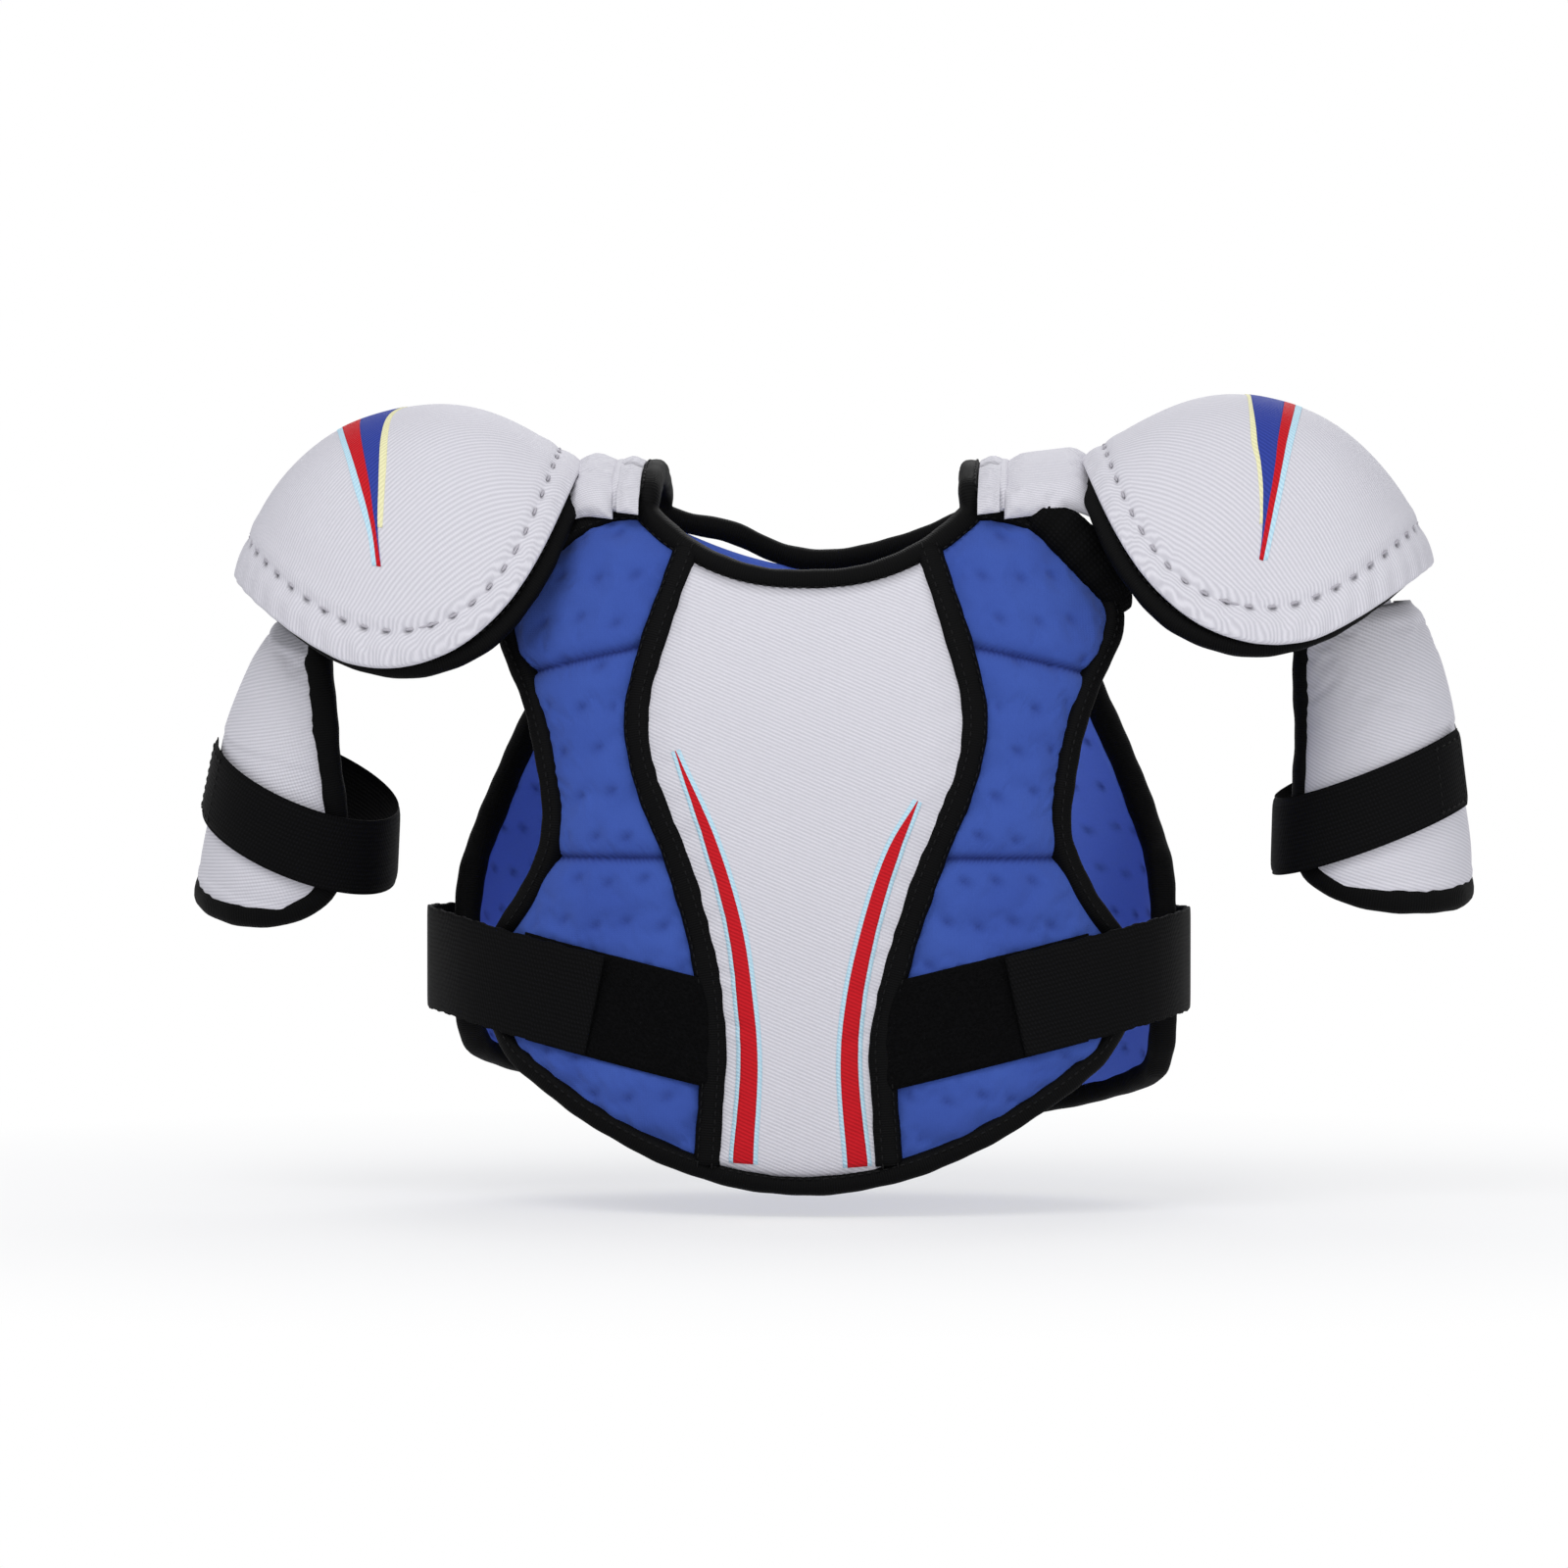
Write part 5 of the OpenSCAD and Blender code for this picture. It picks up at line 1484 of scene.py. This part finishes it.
# %% Sternum stripes
stripe_lines = {
    "right": [[-57.5, 210.0], [-42.0, 167.0], [-31.0, 126.0], [-26.4, 90.0], [-24.6, 56.0], [-27.4, 10.5]],
    "left": [[50.5, 186.0], [40.0, 162.0], [30.4, 130.0], [22.8, 92.0], [20.4, 56.0], [24.2, 9.0]],
}
stripe_widths = [0.4, 5.2, 6.4, 7.2, 8.0, 9.2]


panel_tree = kdtree.KDTree(sternum_level.size)
for i, (x, z) in enumerate(sternum_flat.reshape(-1, 2)):
    panel_tree.insert((x, z, 0.0), i)
panel_tree.balance()


def sternum_height(flat):
    levels = []
    for x, z in flat.reshape(-1, 2):
        near = panel_tree.find_n((x, z, 0.0), 4)
        shares = [1 / (gap + 0.1) for _, _, gap in near]
        levels.append(sum(sternum_level.flat[i] * w for (_, i, _), w in zip(near, shares)) / sum(shares))
    return np.array(levels).reshape(flat.shape[:2])


def stripe(name, line, extra, height, finish):
    share = np.linspace(0, 1, 120)
    middle = spline(line, share)
    width = spline([[w, 0.0] for w in stripe_widths], share)[:, :1] + extra
    ahead = unit(np.gradient(middle, axis=0))
    normal = np.stack([-ahead[:, 1], ahead[:, 0]], axis=1)
    steps = np.linspace(-0.5, 0.5, 8)
    flat = middle[:, None, :] + normal[:, None, :] * (width * steps[None, :])[..., None]
    level = sternum_height(flat)
    thing = skin(name, on_front(flat, level + height), on_front(flat, level - 0.8), flat, finish)
    return dress(thing, "vest", [])


for side, s in SIDES:
    stripe(f"{side}_stripe_pale", stripe_lines[side], 4.0, 0.3, pale_print)
    stripe(f"{side}_stripe_red", stripe_lines[side], 0.0, 0.5, red_print)
print("stripes ready")

# %% [markdown]
# Stitches repeat along every seam, so Geometry Nodes lays them. The tree turns each noted line into a curve,
# places points at an even pitch and sets one small bead of thread on each point along the line's direction.

# %% Stitches
def stitch_tree():
    tree = bpy.data.node_groups.new("stitch_rows", "GeometryNodeTree")
    face = tree.interface
    face.new_socket("Geometry", in_out="INPUT", socket_type="NodeSocketGeometry")
    sizes = {}
    for label, value in (("Pitch", 0.004), ("Length", 0.0026), ("Width", 0.0007)):
        socket = face.new_socket(label, in_out="INPUT", socket_type="NodeSocketFloat")
        socket.default_value = value
        sizes[label] = socket.identifier
    thread = face.new_socket("Thread", in_out="INPUT", socket_type="NodeSocketMaterial")
    sizes["Thread"] = thread.identifier
    face.new_socket("Geometry", in_out="OUTPUT", socket_type="NodeSocketGeometry")
    add = tree.nodes.new
    given, result = add("NodeGroupInput"), add("NodeGroupOutput")
    curve, points_on = add("GeometryNodeMeshToCurve"), add("GeometryNodeResampleCurve")
    place, join = add("GeometryNodeInstanceOnPoints"), add("GeometryNodeRealizeInstances")
    tangent, turn = add("GeometryNodeInputTangent"), add("FunctionNodeAlignRotationToVector")
    bead, size = add("GeometryNodeMeshUVSphere"), add("ShaderNodeCombineXYZ")
    paint, soft = add("GeometryNodeSetMaterial"), add("GeometryNodeSetShadeSmooth")
    bead.inputs["Segments"].default_value = 8
    bead.inputs["Rings"].default_value = 6
    bead.inputs["Radius"].default_value = 0.5
    turn.axis = "Z"
    if "Mode" in points_on.inputs:
        points_on.inputs["Mode"].default_value = "Length"
    else:
        points_on.mode = "LENGTH"
    for start, out, end, into in (
        (given, "Geometry", curve, "Mesh"),
        (curve, "Curve", points_on, "Curve"),
        (given, "Pitch", points_on, "Length"),
        (points_on, "Curve", place, "Points"),
        (bead, "Mesh", place, "Instance"),
        (tangent, "Tangent", turn, "Vector"),
        (turn, "Rotation", place, "Rotation"),
        (given, "Width", size, "X"),
        (given, "Width", size, "Y"),
        (given, "Length", size, "Z"),
        (size, "Vector", place, "Scale"),
        (place, "Instances", join, "Geometry"),
        (join, "Geometry", soft, 0),
        (soft, 0, paint, "Geometry"),
        (given, "Thread", paint, "Material"),
        (paint, "Geometry", result, "Geometry"),
    ):
        tree.links.new(start.outputs[out], end.inputs[into])
    return tree, sizes


threads = {"black": (black_thread, 0.0042, 0.0028, 0.0009), "white": (white_thread, 0.0062, 0.0042, 0.0013)}
rows_tree, row_sizes = stitch_tree()
for (body, tone), lines in seam_rows.items():
    verts, edges = [], []
    for line in lines:
        start = len(verts)
        verts += (line * MM).tolist()
        edges += [(start + i, start + i + 1) for i in range(len(line) - 1)]
    guide_mesh = bpy.data.meshes.new("seam_guide")
    guide_mesh.from_pydata(verts, edges, [])
    guide = bpy.data.objects.new("seam_guide", guide_mesh)
    bpy.context.collection.objects.link(guide)
    thread, pitch, length, width = threads[tone]
    modifier = guide.modifiers.new("rows", "NODES")
    modifier.node_group = rows_tree
    for label, value in (("Pitch", pitch), ("Length", length), ("Width", width), ("Thread", thread.material)):
        modifier[row_sizes[label]] = value
    ready = guide.evaluated_get(bpy.context.evaluated_depsgraph_get())
    plain = bpy.data.meshes.new_from_object(ready)
    bpy.data.objects.remove(guide)
    stitches = bpy.data.objects.new(f"{body}_{tone}_stitches", plain)
    bpy.context.collection.objects.link(stitches)
    "binding" if tone == "black" else "white_knit"
    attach(stitches, body)
    print(stitches.name, len(plain.polygons), "faces")
